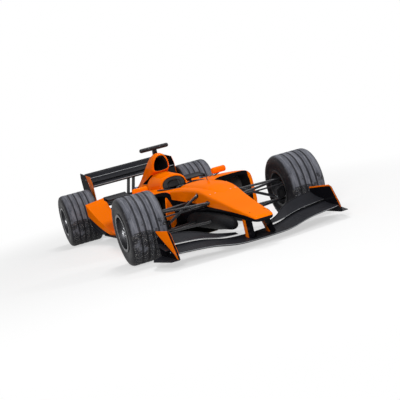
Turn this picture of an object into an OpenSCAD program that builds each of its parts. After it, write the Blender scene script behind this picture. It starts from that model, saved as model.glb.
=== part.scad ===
// Open wheel racing single-seater: tub, wings, suspension, steering and grooved tyres.
// X points to the car's left, the nose points to -Y and Z is up. The origin is on the
// ground, at the middle of the car's length and width. All sizes are in millimetres.

/* [Overall] */
// Length from nose tip to the back of the rear wing
car_length = 4750; // [4500:10:5200]
// Distance between the axles
wheelbase = 3150; // [2950:10:3300]
// Nose tip to front axle
front_overhang = 1080; // [1000:10:1200]
// Width over the front tyres
car_width = 2000; // [1850:10:2100]
// Width over the rear tyres
rear_width = 1980; // [1850:10:2100]

/* [Wheels] */
// Outer diameter of the tyres
tyre_d = 650; // [620:5:680]
// Width of a front tyre
front_tyre_w = 370; // [300:5:390]
// Width of a rear tyre
rear_tyre_w = 410; // [350:5:430]
// Diameter of the rim at the tyre bead
rim_d = 330; // [320:2:380]
// Thickness of the rim barrel
rim_wall = 7; // [4:1:12]
// Depth of a tread groove
groove_depth = 5; // [2:1:8]
// Width of a tread groove
groove_w = 14; // [8:1:18]
// Diameter of a brake disc
disc_d = 276; // [220:2:278]
// Thickness of a brake disc
disc_t = 28; // [16:1:32]
// Width of a rim's spoke
spoke_w = 26; // [16:1:34]
// Thickness of a rim's spoke
spoke_t = 22; // [14:1:28]
// Height of a rim's lip over the bead
rim_lip = 16; // [12:1:20]
// Radius of the centre of a wheel
centre_r = 52; // [48:1:60]
// Radius of a wheel's hub behind the spokes
hub_r = 46; // [44:1:50]
// Radius of the front stub axle
stub_r = 30; // [20:1:40]
// Radial clearance of a turning shaft in its bore
shaft_fit = 0.05; // [0.02:0.01:0.1]

/* [Steering] */
// Distance from car centre to the kingpin axis
kingpin_x = 700; // [660:5:720]
// Length of the steering arm
steering_arm = 110; // [90:5:120]
// Height of the steering rack
rack_z = 372; // [350:1:380]
// Half the length of the steering rack
rack_half = 290; // [250:5:320]
// Radius of the upright's pins
pin_r = 7; // [5:0.5:9]
// Gap round a pin in its eye
pin_gap = 0.6; // [0.3:0.1:1]
// Radius of the pin in a steering arm
arm_pin_r = 4; // [3:0.5:5]
// Radius of the steering column
column_r = 14; // [10:1:16]
// Diameter of the steering wheel
steering_wheel_d = 270; // [230:5:290]

/* [Body] */
// Height of the line where the engine cover meets the tub
parting_z = 512; // [490:1:520]
// Wall of the tub
tub_wall = 22; // [12:1:35]
// Height of the underside of the skid plank
plank_z = 38; // [30:1:50]
// Thickness of the skid plank
plank_t = 10; // [8:1:12]
// Thickness of the floor plates
floor_t = 12; // [8:1:16]
// Height of the stepped floor's underside
step_z = 98; // [85:1:110]
// Seam between two body pieces
seam = 0.3; // [0.2:0.1:0.5]
// Length of the engine block
engine_l = 560; // [500:10:600]
// Radius of an exhaust pipe
exhaust_r = 34; // [28:1:38]
// Wall of an exhaust pipe
exhaust_wall = 3; // [1:0.5:5]
// Radius of the starter's socket in the rear crash structure
starter_r = 15; // [10:1:16]
// Distance from car centre to the middle of a mirror
mirror_x = 455; // [430:5:480]
// Height of the camera bar's middle
camera_z = 976; // [965:1:976]
// Half the length of the camera bar
camera_half = 152; // [120:4:160]
// Radius of the camera bar
camera_r = 24; // [18:1:24]

/* [Wings] */
// Span of the front wing
front_span = 1570; // [1400:10:1700]
// Span of the rear wing
rear_span = 1110; // [1000:10:1120]
// Thickness of the wing endplates
endplate_t = 8; // [5:1:12]
// Height of the rear wing's top edge
rear_wing_z = 850; // [800:5:900]

/* [Suspension] */
// Chord of a wishbone's leg
arm_chord = 44; // [30:1:50]
// Thickness of a wishbone's leg
arm_t = 15; // [10:1:18]
// Chord of a pushrod
pushrod_chord = 34; // [24:1:40]
// Thickness of a pushrod
pushrod_t = 16; // [12:1:20]
// Radius of the half shafts
half_shaft_r = 19; // [14:1:22]
// Radius of the joints at a half shaft's ends
joint_r = 39; // [34:1:40]

/* [Hidden] */
$fn = 48;

orange = "darkorange";
carbon = "dimgray";
black = "black";

nose_y = -car_length / 2;
tail_y = car_length / 2;
front_axle = nose_y + front_overhang;
rear_axle = front_axle + wheelbase;
axle_z = tyre_d / 2;
front_track = car_width / 2 - front_tyre_w / 2;
rear_track = rear_width / 2 - rear_tyre_w / 2;
rim_r = rim_d / 2;
barrel_r = rim_r - rim_wall;
lip_w = 9;
floor_z = plank_z + plank_t;
eye_r = 16;
eye_h = 22;
arm_up = 92;
arm_down = 104;
big = 6000;
rack_y = front_axle - steering_arm;
rack_r = 11;
housing_r = 18;
housing_half = 200;

// ---- functions ----

function unit(v) = v / norm(v);
function spow(c, p) = sign(c) * pow(abs(c), p);

// Value between b and c on the smooth curve through a, b, c and d
function curve(a, b, c, d, t) = 0.5 * (2 * b + (c - a) * t + (2 * a - 5 * b + 4 * c - d) * t * t
    + (3 * b - a - 3 * c + d) * t * t * t);

// Rows with steps more of them between each pair, on a smooth curve
function smooth(rows, steps) = let (last = len(rows) - 1)
    [for (i = [0 : last - 1], s = [0 : steps - 1])
        curve(rows[max(i - 1, 0)], rows[i], rows[i + 1], rows[min(i + 2, last)], s / steps),
    rows[last]];

// One closed cross-section from a row: [y, centre x, half width, height of the widest line,
// top, bottom, top power, bottom power, lean back per height]
function section(r, grow, count) = [for (i = [0 : count - 1])
    let (t = 360 * i / count, c = cos(t), s = sin(t), p = 2 / (s >= 0 ? r[6] : r[7]),
        rise = (s >= 0 ? r[4] - r[3] + grow : r[3] - r[5] + grow) * spow(s, p))
    [r[1] + (r[2] + grow) * spow(c, p), r[0] + (len(r) > 8 ? r[8] : 0) * rise, r[3] + rise]];

// Outline of a wing section: [fraction of the chord, height]
function foil(chord, thick, camber, count) = let (
    half = function(s) 5 * thick * (0.2969 * sqrt(s) - 0.126 * s - 0.3516 * s * s
        + 0.2843 * s * s * s - 0.1036 * s * s * s * s) + 1.5 * s,
    mid = function(s) -4 * camber * s * (1 - s),
    at = function(i) (1 - cos(180 * i / count)) / 2)
    [for (i = [0 : count]) [chord * at(i), mid(at(i)) + half(at(i))],
     for (i = [count : -1 : 1]) [chord * at(i), mid(at(i)) - half(at(i))]];

function turned(p, a) = [p[0] * cos(a) - p[1] * sin(a), p[0] * sin(a) + p[1] * cos(a)];

// ---- shared shapes ----

// Closed skin through rings of points, each ring seen anticlockwise from its start
module skin(rings) {
    n = len(rings[0]);
    last = len(rings) - 1;
    points = [for (ring = rings, p = ring) p];
    sides = [for (i = [0 : last - 1], j = [0 : n - 1]) let (k = (j + 1) % n)
        each [[i * n + j, i * n + k, i * n + n + k], [i * n + j, i * n + n + k, i * n + n + j]]];
    first_cap = [for (j = [1 : n - 2]) [0, j + 1, j]];
    last_cap = [for (j = [1 : n - 2]) [last * n, last * n + j, last * n + j + 1]];
    polyhedron(points, concat(sides, first_cap, last_cap), convexity = 6);
}

module shell(rows, grow = 0, steps = 3, count = 32) {
    skin([for (r = smooth(rows, steps)) section(r, grow, count)]);
}

// Several solids made into one closed surface
module joined() {
    resize([0, 0, 0]) children();
}

module both_sides() {
    children();
    mirror([1, 0, 0]) children();
}

// Moves its child to the left side, or mirrors it to the right
module on_side(side) {
    if (side > 0) children();
    else mirror([1, 0, 0]) children();
}

// Extrudes a [y, z] outline along X from x0 to x1
module across(x0, x1) {
    translate([x0, 0, 0]) rotate([90, 0, 90]) linear_extrude(x1 - x0) children();
}

module lens(chord, thick) {
    polygon([for (i = [0 : 11]) let (t = 30 * i)
        [chord / 2 * cos(t), thick / 2 * spow(sin(t), 1.2)]]);
}

// Bar of streamlined section from a to b, its chord along the car
module strut(a, b, chord = arm_chord, thick = arm_t) {
    w = unit(b - a);
    u = unit([0, 1, 0] - w[1] * w);
    v = cross(w, u);
    multmatrix([[u[0], v[0], w[0], a[0]], [u[1], v[1], w[1], a[1]], [u[2], v[2], w[2], a[2]],
        [0, 0, 0, 1]])
        linear_extrude(norm(b - a)) lens(chord, thick);
}

module rod(a, b, r) {
    w = unit(b - a);
    u = unit(abs(w[1]) < 0.9 ? [0, 1, 0] - w[1] * w : [1, 0, 0] - w[0] * w);
    v = cross(w, u);
    multmatrix([[u[0], v[0], w[0], a[0]], [u[1], v[1], w[1], a[1]], [u[2], v[2], w[2], a[2]],
        [0, 0, 0, 1]])
        cylinder(r = r, h = norm(b - a));
}

module box(lo, hi) {
    translate(lo) cube(hi - lo);
}

module wheel_axis(x, y) {
    translate([x, y, axle_z]) rotate([0, 90, 0]) children();
}

// ---- body lines ----

tub_front = front_axle - 180;
tub_rear = front_axle + 1790;
gearbox_y = tub_rear + engine_l + 2 * seam;
dash_y = front_axle + 595;
floor_half = 282;
flange_x = 114;
starter_z = 272;

nose_rows = [
    [nose_y, 0, 74, 236, 258, 214, 4, 3],
    [nose_y + 25, 0, 88, 240, 268, 207, 5, 3],
    [nose_y + 160, 0, 100, 258, 297, 210, 7, 3],
    [nose_y + 420, 0, 120, 298, 354, 232, 8, 3],
    [nose_y + 680, 0, 142, 350, 418, 252, 8, 3],
    [tub_front, 0, 166, 400, 474, 268, 8, 3]];

tub_rows = [
    [tub_front, 0, 166, 400, 474, 268, 8, 3],
    [front_axle, 0, 178, 424, 514, 262, 8, 3],
    [front_axle + 300, 0, 200, 430, 537, 235, 8, 3],
    [front_axle + 650, 0, 232, 400, 540, 170, 8, 4],
    [front_axle + 1000, 0, 262, 380, 532, 96, 8, 6],
    [front_axle + 1400, 0, 270, 340, 524, 52, 8, 8],
    [tub_rear, 0, 262, 330, 524, 52, 8, 8]];

hump_rows = [
    [front_axle - 230, 0, 44, 440, 462, 400, 3, 2],
    [front_axle - 130, 0, 90, 450, 496, 400, 3, 2],
    [front_axle, 0, 116, 470, 536, 400, 3, 2],
    [front_axle + 250, 0, 134, 490, 559, 400, 3, 2],
    [front_axle + 560, 0, 150, 500, 566, 400, 3, 2],
    [front_axle + 690, 0, 150, 500, 562, 400, 2.8, 2]];

cockpit_rows = [
    [front_axle + 640, 0, 60, 540, 700, 420, 2, 2.5],
    [front_axle + 690, 0, 130, 520, 700, 330, 2.4, 2.5],
    [front_axle + 860, 0, 190, 500, 700, 180, 3, 4],
    [front_axle + 1100, 0, 214, 500, 700, 110, 4, 5],
    [front_axle + 1460, 0, 214, 500, 700, 95, 4, 5],
    [front_axle + 1700, 0, 205, 500, 700, 100, 4, 5],
    [tub_rear - tub_wall, 0, 190, 500, 700, 110, 4, 5]];

leg_rows = [
    [front_axle - 60, 0, 110, 370, 420, 310, 4, 4],
    [front_axle + 300, 0, 140, 360, 440, 280, 4, 4],
    [front_axle + 700, 0, 180, 320, 440, 190, 4, 4],
    [front_axle + 900, 0, 180, 320, 430, 160, 4, 4]];

// Arch round the headrest, running back as the spine of the cover
hoop_rows = [
    [front_axle + 1350, 0, 142, 540, 640, 440, 2.3, 3],
    [front_axle + 1380, 0, 156, 540, 658, 440, 2.3, 3],
    [front_axle + 1500, 0, 164, 540, 668, 440, 2.2, 3],
    [front_axle + 1700, 0, 176, 530, 690, 440, 2, 3],
    [tub_rear, 0, 190, 520, 690, 440, 2, 3],
    [front_axle + 2150, 0, 180, 480, 650, 400, 2, 3],
    [front_axle + 2550, 0, 150, 430, 560, 350, 2, 3],
    [rear_axle - 60, 0, 96, 360, 450, 300, 2, 3]];

// Low deck over the cockpit's back corners and the engine
deck_rows = [
    [front_axle + 1336, 0, 262, 500, 526, 460, 4, 3],
    [front_axle + 1400, 0, 267, 500, 530, 460, 4, 3],
    [tub_rear, 0, 262, 420, 530, 120, 3, 4],
    [front_axle + 2150, 0, 246, 400, 500, 110, 2.6, 4],
    [front_axle + 2550, 0, 196, 380, 465, 130, 2.4, 4],
    [front_axle + 2900, 0, 140, 350, 425, 180, 2.2, 3],
    [rear_axle - 60, 0, 108, 330, 400, 210, 2, 3]];

airbox_rows = [
    [front_axle + 1688, 0, 88, 752, 888, 704, 2, 3, -0.36],
    [front_axle + 1712, 0, 104, 752, 903, 694, 2, 3, -0.36],
    [front_axle + 1770, 0, 113, 742, 912, 676, 1.9, 3, -0.34],
    [front_axle + 1930, 0, 120, 690, 892, 600, 1.8, 2.6, -0.2],
    [front_axle + 2250, 0, 112, 590, 760, 480, 1.7, 2.4, -0.05],
    [front_axle + 2600, 0, 84, 510, 620, 420, 1.8, 2.4, 0],
    [front_axle + 2900, 0, 66, 455, 520, 380, 2, 2.4, 0],
    [rear_axle - 60, 0, 54, 415, 465, 360, 2, 2.4, 0]];

// The throat of the airbox, running back from the intake
throat_rows = [
    [front_axle + 1640, 0, 84, 752, 880, 708, 2, 3, -0.36],
    [front_axle + 1720, 0, 84, 752, 880, 708, 2, 3, -0.36],
    [front_axle + 1980, 0, 76, 730, 850, 670, 2, 3, -0.2]];

pod_front = front_axle + 740;
pod_z = step_z + floor_t + seam;
pod_rows = [
    [pod_front, 452, 222, 330, 528, pod_z, 5, 5],
    [pod_front + 60, 452, 232, 330, 540, pod_z, 5, 6],
    [pod_front + 500, 440, 248, 320, 530, pod_z, 4.5, 7],
    [pod_front + 1000, 400, 262, 300, 498, pod_z, 4, 7],
    [pod_front + 1450, 330, 228, 270, 430, pod_z, 3.4, 7],
    [pod_front + 1820, 235, 175, 230, 350, pod_z, 3, 7],
    [pod_front + 2050, 190, 110, 200, 290, pod_z, 3, 7]];
duct_rows = [
    [pod_front - 40, 455, 190, 335, 500, 160, 5, 4],
    [pod_front + 60, 455, 190, 335, 500, 160, 5, 4],
    [pod_front + 520, 455, 190, 320, 480, step_z + 45, 4.5, 5]];

keel_rows = [
    [front_axle - 760, 166, 14, 205, 218, 192, 2, 2],
    [front_axle - 735, 166, 44, 204, 244, 164, 2, 2],
    [front_axle - 660, 164, 62, 206, 266, 158, 2.2, 2],
    [front_axle - 520, 160, 66, 206, 282, 154, 2.4, 2],
    [front_axle - 300, 148, 54, 200, 292, 138, 2.4, 2],
    [front_axle - 60, 138, 48, 200, 300, 134, 2.6, 2],
    [front_axle + 200, 150, 42, 200, 300, 138, 2.6, 2],
    [front_axle + 420, 165, 32, 200, 290, 150, 2.4, 2],
    [front_axle + 560, 170, 18, 200, 240, 172, 2, 2]];

module nose_outer(grow = 0) {
    shell(nose_rows, grow);
}

module tub_outer(grow = 0) {
    shell(tub_rows, grow);
    shell(hump_rows, grow, 3, 20);
}

module cover_outer(grow = 0) {
    shell(hoop_rows, grow, 3, 28);
    shell(deck_rows, grow, 3, 28);
    shell(airbox_rows, grow, 3, 28);
}

module keel_outer(grow = 0) {
    both_sides() shell(keel_rows, grow, 2, 16);
}

// ---- tub, nose and cockpit ----

module monocoque() {
    color(orange) joined() difference() {
        tub_outer();
        shell(cockpit_rows);
        difference() {
            shell(leg_rows, 0, 2, 20);
            box([-big, dash_y, -big], [big, dash_y + 12, big]);
        }
        box([-big, front_axle + 1330, parting_z], [big, tub_rear + 10, big]);
        box([-big, -big, -big], [big, big, floor_z + floor_t + seam]);
        along_column() cylinder(r = column_r + seam, h = 440);
        along_rack(housing_r + seam, housing_half + seam);
    }
}

// Cylinder along the steering rack
module along_rack(r, half) {
    translate([-half, rack_y, rack_z]) rotate([0, 90, 0]) cylinder(r = r, h = 2 * half);
}

module nose_cone() {
    color(orange) joined() difference() {
        nose_outer();
        tub_outer(seam);
    }
}

module keels() {
    color(carbon) joined() difference() {
        keel_outer();
        tub_outer(seam);
        nose_outer(seam);
        along_rack(housing_r + seam, housing_half + seam);
    }
}

module radio_antenna() {
    base = [0, front_axle + 165, 552];
    color(black) joined() difference() {
        union() {
            translate(base + [0, 0, -20]) cylinder(r1 = 16, r2 = 9, h = 44, $fn = 20);
            rod(base, base + [0, 26, 78], 4, $fn = 16);
        }
        tub_outer(seam);
    }
}

module seat() {
    y0 = front_axle + 900;
    color(black) joined() intersection() {
        difference() {
            union() {
                box([-205, y0, 100], [205, tub_rear - 60, 130]);
                across(-195, 195) polygon([[y0 + 420, 118], [y0 + 500, 118], [y0 + 830, 560],
                    [y0 + 760, 580]]);
                both_sides() box([150, y0 + 250, 110], [195, y0 + 700, 330]);
            }
            translate([0, 0, -1]) box([-130, y0 + 40, 131], [130, y0 + 380, 180]);
        }
        shell(cockpit_rows, -1);
        box([-big, -big, 0], [big, big, 500]);
    }
}

module headrest() {
    y0 = front_axle + 1345;
    color(black) joined() intersection() {
        difference() {
            shell(hoop_rows, -19, 3, 28);
            shell([[y0 - 100, 0, 78, 540, 602, 440, 2.4, 3], [y0 + 62, 0, 70, 540, 592, 440, 2.4, 3]],
                0, 1, 24);
        }
        box([-230, y0 - 40, parting_z + seam], [230, y0 + 130, 660]);
    }
}

module mirrors() {
    color(orange) both_sides() {
        translate([mirror_x, front_axle + 1100, 590]) rotate([0, 0, 8]) joined() hull() {
            translate([-62, 0, 0]) scale([1, 1.3, 1.4]) sphere(24, $fn = 20);
            translate([62, 0, 0]) scale([1, 1.3, 1.4]) sphere(24, $fn = 20);
        }
    }
    color(black) joined() difference() {
        both_sides() strut([mirror_x, front_axle + 1106, 552], [240, front_axle + 1160, 480], 26, 9);
        tub_outer(seam);
        both_sides() shell(pod_rows, seam);
    }
}

module camera_pod() {
    y = front_axle + 1790;
    color(black) joined() difference() {
        union() {
            rod([-camera_half, y, camera_z], [camera_half, y, camera_z], camera_r, $fn = 16);
            both_sides() translate([camera_half, y, camera_z]) sphere(camera_r, $fn = 16);
            both_sides() strut([18, y, camera_z], [23, y + 20, 840], 46, 16);
        }
        cover_outer(seam);
    }
}

// ---- engine cover and power unit ----

module engine_cover() {
    color(orange) joined() difference() {
        cover_outer();
        above_tub_gap();
        shell(throat_rows, 0, 2, 32);
        engine_bay();
        headrest_pocket();
        both_sides() side_vent();
        both_sides() at_exhaust() cylinder(r = exhaust_r + seam, h = 200);
    }
}

// The room that the tub takes out of the cover
module above_tub_gap() {
    box([-big, tub_front, -1], [big, tub_rear + seam, parting_z + seam]);
}

module engine_bay() {
    box([-170, tub_rear - 1, 0], [170, tub_rear + engine_l + 20, 430]);
    box([-130, tub_rear + engine_l, 0], [130, rear_axle + 200, 330]);
    gearbox_body(seam);
}

module headrest_pocket() {
    intersection() {
        shell([for (r = hoop_rows) [r[0] < front_axle + 1360 ? front_axle + 1300 : r[0],
            r[1], r[2], r[3], r[4], r[5], r[6], r[7]]], -18, 3, 28);
        box([-235, front_axle + 1280, 400], [235, front_axle + 1480, 680]);
    }
}

module side_vent() {
    y = front_axle + 1815;
    across(0, 400) polygon([[y, 682], [y + 8, 588], [y + 360, 584]]);
}

module engine_block() {
    color("silver") box([-150, tub_rear + seam, floor_z + floor_t + seam],
        [150, tub_rear + seam + engine_l, 415]);
}

module gearbox_body(grow = 0) {
    hull() {
        box([-96 - grow, gearbox_y - grow, 130 - grow], [96 + grow, gearbox_y + 20, 385 + grow]);
        box([-62 - grow, rear_axle + 170, 262 - grow], [62 + grow, rear_axle + 190 + grow, 365 + grow]);
    }
}

module gearbox_casing() {
    color("gray") difference() {
        union() {
            gearbox_body();
            both_sides() wheel_axis(50, rear_axle) cylinder(r = 42, h = flange_x - 50);
        }
        both_sides() wheel_axis(flange_x - 30, rear_axle) cylinder(r = half_shaft_r + shaft_fit, h = 60);
    }
}

module crash_cone(grow = 0) {
    y0 = rear_axle + 190 + seam;
    hull() {
        box([-60 - grow, y0, 264 - grow], [60 + grow, y0 + 10, 360 + grow]);
        box([-38 - grow, tail_y - 30, 250 - grow], [38 + grow, tail_y - 20, 340 + grow]);
    }
}

// Nose of the crash structure, with its lamp above the starter's socket
module rear_crash_structure() {
    color(black) difference() {
        union() {
            crash_cone();
            box([-32, tail_y - 20, 295], [32, tail_y - 6, 335]);
        }
        translate([0, tail_y - 20, starter_z]) rotate([90, 0, 0])
            translate([0, 0, -20]) cylinder(r = starter_r, h = 80 + 20);
    }
}

module radiators() {
    color("dimgray") joined() difference() {
        both_sides() intersection() {
            translate([455, pod_front + 360, 300]) rotate([0, 0, -18])
                cube([520, 60, 420], center = true);
            duct(-seam);
        }
        tub_outer(seam);
    }
}

// Places its child at the left exhaust, along its bore
module at_exhaust() {
    translate([178, front_axle + 2330, 450]) rotate([-50, 0, 10]) children();
}

module exhausts() {
    color("silver") both_sides() at_exhaust() difference() {
        cylinder(r = exhaust_r, h = 140);
        translate([0, 0, 8]) cylinder(r = exhaust_r - exhaust_wall, h = 140);
    }
}

// ---- sidepods, floor and fins ----

module duct(grow = 0) {
    shell(duct_rows, grow, 2, 24);
}

module sidepod(side) {
    color(orange) joined() difference() {
        on_side(side) difference() {
            shell(pod_rows);
            duct();
            box([-big, -big, 0], [0, big, big]);
            box([-big, tub_rear - 1, 0], [175, tub_rear + engine_l + 20, 425]);
        }
        tub_outer(seam);
        cover_outer(seam);
        gearbox_body(seam);
        across(-diffuser_half - 1, diffuser_half + 1) offset(delta = seam) diffuser_outline();
        both_sides() at_exhaust() translate([0, 0, -1]) cylinder(r = exhaust_r + seam, h = 200);
    }
}

module floor() {
    y0 = front_axle + 420;
    y1 = floor_rear;
    color(carbon) union() {
        linear_plate(floor_z, floor_t, [[-120, y0], [120, y0], [floor_half, y0 + 260],
            [floor_half, y1], [-floor_half, y1], [-floor_half, y0 + 260]]);
        both_sides() {
            linear_plate(step_z, floor_t, [[floor_half, pod_front - 60], [640, pod_front + 30],
                [690, pod_front + 300], [690, y1 - 420], [560, y1 - 160], [550, y1],
                [floor_half, y1]]);
            box([floor_half - 10, pod_front - 60, floor_z], [floor_half, y1, step_z + floor_t]);
        }
    }
}

module linear_plate(z, t, outline) {
    translate([0, 0, z]) linear_extrude(t) polygon(outline);
}

module plank() {
    y0 = front_axle + 440;
    color("sienna") linear_plate(plank_z, plank_t, [[-60, y0], [60, y0], [150, y0 + 120],
        [150, floor_rear - 10], [-150, floor_rear - 10], [-150, y0 + 120]]);
}

floor_rear = rear_axle - axle_z - 20;
diffuser_rear = rear_axle + 330;
diffuser_half = 500;
fin_t = 8;

module diffuser_outline() {
    polygon([[floor_rear, step_z], [diffuser_rear, 245], [diffuser_rear, 245 + fin_t],
        [floor_rear, step_z + floor_t]]);
}

module diffuser() {
    color(carbon) union() {
        across(-diffuser_half, diffuser_half) diffuser_outline();
        both_sides() for (x = [130, 300, diffuser_half - 4])
            across(x - fin_t, x) polygon([[floor_rear, floor_z], [diffuser_rear, 175],
                [diffuser_rear, 248], [floor_rear, step_z + 2]]);
    }
}

// Upright vane rows: x at the foot and at the top, distance behind the front axle, low and high z
board_rows = [[395, 390, 543, 205, 330], [372, 366, 567, 178, 400], [348, 340, 595, 165, 482],
    [326, 314, 619, 150, 455], [297, 278, 655, 122, 372],
    [277, 254, 692, step_z + floor_t + seam, 285]];

module barge_board() {
    skin([for (r = board_rows) let (y = front_axle + r[2])
        [[r[0] + 4, y + 3, r[3]], [r[1] + 4, y + 3, r[4]], [r[1] - 4, y - 3, r[4]],
         [r[0] - 4, y - 3, r[3]]]]);
}

module barge_boards() {
    color(orange) both_sides() barge_board();
}

module winglets() {
    color(black) both_sides() joined() difference() {
        union() {
            across(340, 610) polygon(placed_foil(rear_axle - 1080, 512, 220, 22, 14, 10));
            box([430, rear_axle - 1060, 380], [438, rear_axle - 900, 520]);
        }
        shell(pod_rows, seam);
    }
}

module wheel_fairings() {
    inner = rear_track - rear_tyre_w / 2;
    y1 = rear_axle - axle_z - 40;
    color(orange) both_sides() joined() difference() {
        union() {
            skin([for (f = [0 : 0.125 : 1]) let (y = rear_axle - 1200 + (1200 - axle_z - 40) * f,
                z = 119 + 363 * pow(f, 1.4), x0 = 500, x1 = 640 + 110 * f)
                [[x1, y, z + 4], [x0, y, z + 4 + 30 * f], [x0, y, z - 4 + 30 * f], [x1, y, z - 8]]]);
            skin([for (f = [0 : 0.125 : 1]) let (y = rear_axle - 1200 + (1200 - axle_z - 40) * f,
                z = 119 + 363 * pow(f, 1.4), x1 = 640 + 110 * f, low = max(pod_z, z - 30 - 110 * f))
                [[x1, y, z + 4], [x1 - 7, y, z + 4], [x1 - 7, y, low], [x1, y, low]]]);
        }
        shell(pod_rows, seam);
    }
}

// ---- wings ----

function placed_foil(y, z, chord, thick, camber, angle) =
    [for (p = foil(chord, thick, camber, 12)) [y, z] + turned(p, angle)];

// Rings of a wing along X from rows: [x, leading edge y, z, chord, thickness, camber, angle]
module wing(rows) {
    skin([for (r = rows) [for (p = placed_foil(r[1], r[2], r[3], r[4], r[5], r[6]))
        [r[0], p[0], p[1]]]]);
}

function mirrored_rows(rows) = [for (i = [len(rows) - 1 : -1 : 0])
    [-rows[i][0], for (k = [1 : 6]) rows[i][k]]];

inner_tip = front_span / 2 - endplate_t;
wing_y = nose_y + 45;

plane_half = smooth([
    [0, wing_y, 66, 330, 26, 16, 4],
    [240, wing_y + 8, 72, 330, 26, 16, 5],
    [480, wing_y + 60, 110, 320, 26, 18, 7],
    [inner_tip, wing_y + 105, 130, 300, 24, 18, 8]], 4);

flap_half = smooth([
    [140, wing_y + 318, 112, 50, 8, 2, 10],
    [300, wing_y + 324, 126, 130, 12, 8, 11],
    [500, wing_y + 351, 165, 255, 14, 16, 12],
    [inner_tip, wing_y + 375, 186, 280, 14, 18, 15]], 4);

module plane_outer() {
    wing(concat(mirrored_rows(plane_half), [for (i = [1 : len(plane_half) - 1]) plane_half[i]]));
}

module front_wing_plane() {
    color(carbon) plane_outer();
}

module front_wing_flaps() {
    color(carbon) both_sides() wing(flap_half);
}

module front_wing_endplates() {
    x = front_span / 2 - endplate_t;
    y0 = wing_y + 70;
    color(black) both_sides() union() {
        across(x, x + endplate_t) polygon([[y0, 78], [y0 + 560, 70], [y0 + 582, 150],
            [y0 + 570, 300], [y0 + 160, 320], [y0 + 110, 300], [y0 + 20, 150]]);
        linear_plate(70, 6, [[x, y0 + 560], [x, y0 + 20], [x + 75, y0 + 30], [x + 150, y0 + 330],
            [x + 120, y0 + 430]]);
    }
}

module nose_pylons() {
    color(black) joined() difference() {
        both_sides() intersection() {
            strut([104, wing_y + 120, 60], [74, wing_y + 190, 262], 220, 14);
            box([0, -big, 66], [big, big, 255]);
        }
        nose_outer(seam);
        plane_outer();
    }
}

rear_tip = rear_span / 2 - endplate_t;

module rear_plane_outline() {
    polygon(placed_foil(tail_y - 650, rear_wing_z - 182, 290, 30, 26, 12));
}

module rear_slot_outline() {
    polygon(placed_foil(tail_y - 470, rear_wing_z - 140, 120, 14, 10, 26));
}

module rear_flap_outline() {
    polygon(placed_foil(tail_y - 392, rear_wing_z - 108, 150, 16, 14, 38));
}

module rear_wing_planes() {
    color(carbon) {
        across(-rear_tip, rear_tip) rear_plane_outline();
        across(-rear_tip, rear_tip) rear_slot_outline();
        across(-rear_tip, rear_tip) rear_flap_outline();
    }
}

module rear_wing_beam() {
    color(carbon) joined() difference() {
        union() {
            across(-rear_tip, rear_tip) polygon(placed_foil(tail_y - 280, 392, 220, 22, 18, 12));
            both_sides() across(30, 38) polygon([[tail_y - 250, 395], [tail_y - 130, 420],
                [tail_y - 440, rear_wing_z - 130], [tail_y - 560, rear_wing_z - 150]]);
            box([-34, tail_y - 230, 300], [34, tail_y - 130, 396]);
        }
        crash_cone(seam);
        across(-100, 100) offset(delta = seam) {
            rear_plane_outline();
            rear_slot_outline();
            rear_flap_outline();
        }
    }
}

module rear_wing_endplates() {
    color(black) both_sides() across(rear_tip, rear_tip + endplate_t)
        polygon([[tail_y - 320, 330], [tail_y - 60, 330], [tail_y, 420], [tail_y, rear_wing_z - 60],
            [tail_y - 40, rear_wing_z], [tail_y - 600, rear_wing_z - 60],
            [tail_y - 660, rear_wing_z - 150], [tail_y - 640, 480], [tail_y - 380, 470]]);
}

// ---- suspension ----

// Eye with its bore on a vertical pin
module eye(p) {
    translate([p[0], p[1], p[2] - eye_h / 2]) cylinder(r = eye_r, h = eye_h, $fn = 32);
}

module eye_bore(p) {
    translate([p[0], p[1], p[2] - eye_h]) cylinder(r = pin_r + pin_gap, h = 2 * eye_h, $fn = 32);
}

// Two struts from an outer eye to two inner mounts
module wishbone(outer, front, rear) {
    difference() {
        union() {
            eye(outer);
            strut(outer, front);
            strut(outer, rear);
        }
        eye_bore(outer);
    }
}

front_upper = [kingpin_x, front_axle, axle_z + arm_up];
front_lower = [kingpin_x, front_axle, axle_z - arm_down];
rear_upper = [rear_track - 100, rear_axle, axle_z + arm_up];
rear_lower = [rear_track - 100, rear_axle, axle_z - arm_down];

module front_wishbones() {
    color(black) joined() difference() {
        both_sides() {
            wishbone(front_upper, [150, front_axle - 205, 395], [170, front_axle + 330, 400]);
            wishbone(front_lower, [110, front_axle - 240, 222], [140, front_axle + 300, 205]);
            strut(front_lower + [-75, 10, 18], [165, front_axle + 80, 470],
                pushrod_chord, pushrod_t);
        }
        tub_outer(seam);
        nose_outer(seam);
        keel_outer(seam);
    }
}

module rear_wishbones() {
    color(black) joined() difference() {
        both_sides() {
            wishbone(rear_upper, [60, rear_axle - 330, axle_z + 60],
                [60, rear_axle + 60, axle_z + 25]);
            wishbone(rear_lower, [60, rear_axle - 330, axle_z - 120],
                [60, rear_axle + 60, axle_z - 110]);
            strut(rear_lower + [-60, -40, 14], [120, rear_axle - 250, axle_z + 105],
                pushrod_chord - 4, pushrod_t);
        }
        gearbox_body(seam);
        shell(pod_rows, seam);
        mirror([1, 0, 0]) shell(pod_rows, seam);
        cover_outer(seam);
    }
}

// Lugs and pins that hold the outer eyes of the wishbones
module pin_and_lugs(p) {
    for (s = [-1, 1])
        translate([p[0], p[1], p[2] + s * (eye_h / 2 + 5)])
            cylinder(r = eye_r, h = 8, center = true);
    translate([p[0], p[1], p[2] - eye_h / 2 - 2]) cylinder(r = pin_r, h = eye_h + 4);
}

// Post just outboard of the eyes, clear of the arms
module upright_post(x, up, down) {
    box([x + eye_r + 2, -24, -down - 20], [x + eye_r + 24, 24, up + 20]);
    for (z = [up, -down], s = [-1, 1])
        translate([0, 0, z + s * (eye_h / 2 + 5) - 4])
            box([x, -12, 0], [x + eye_r + 4, 12, 8]);
}

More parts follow.
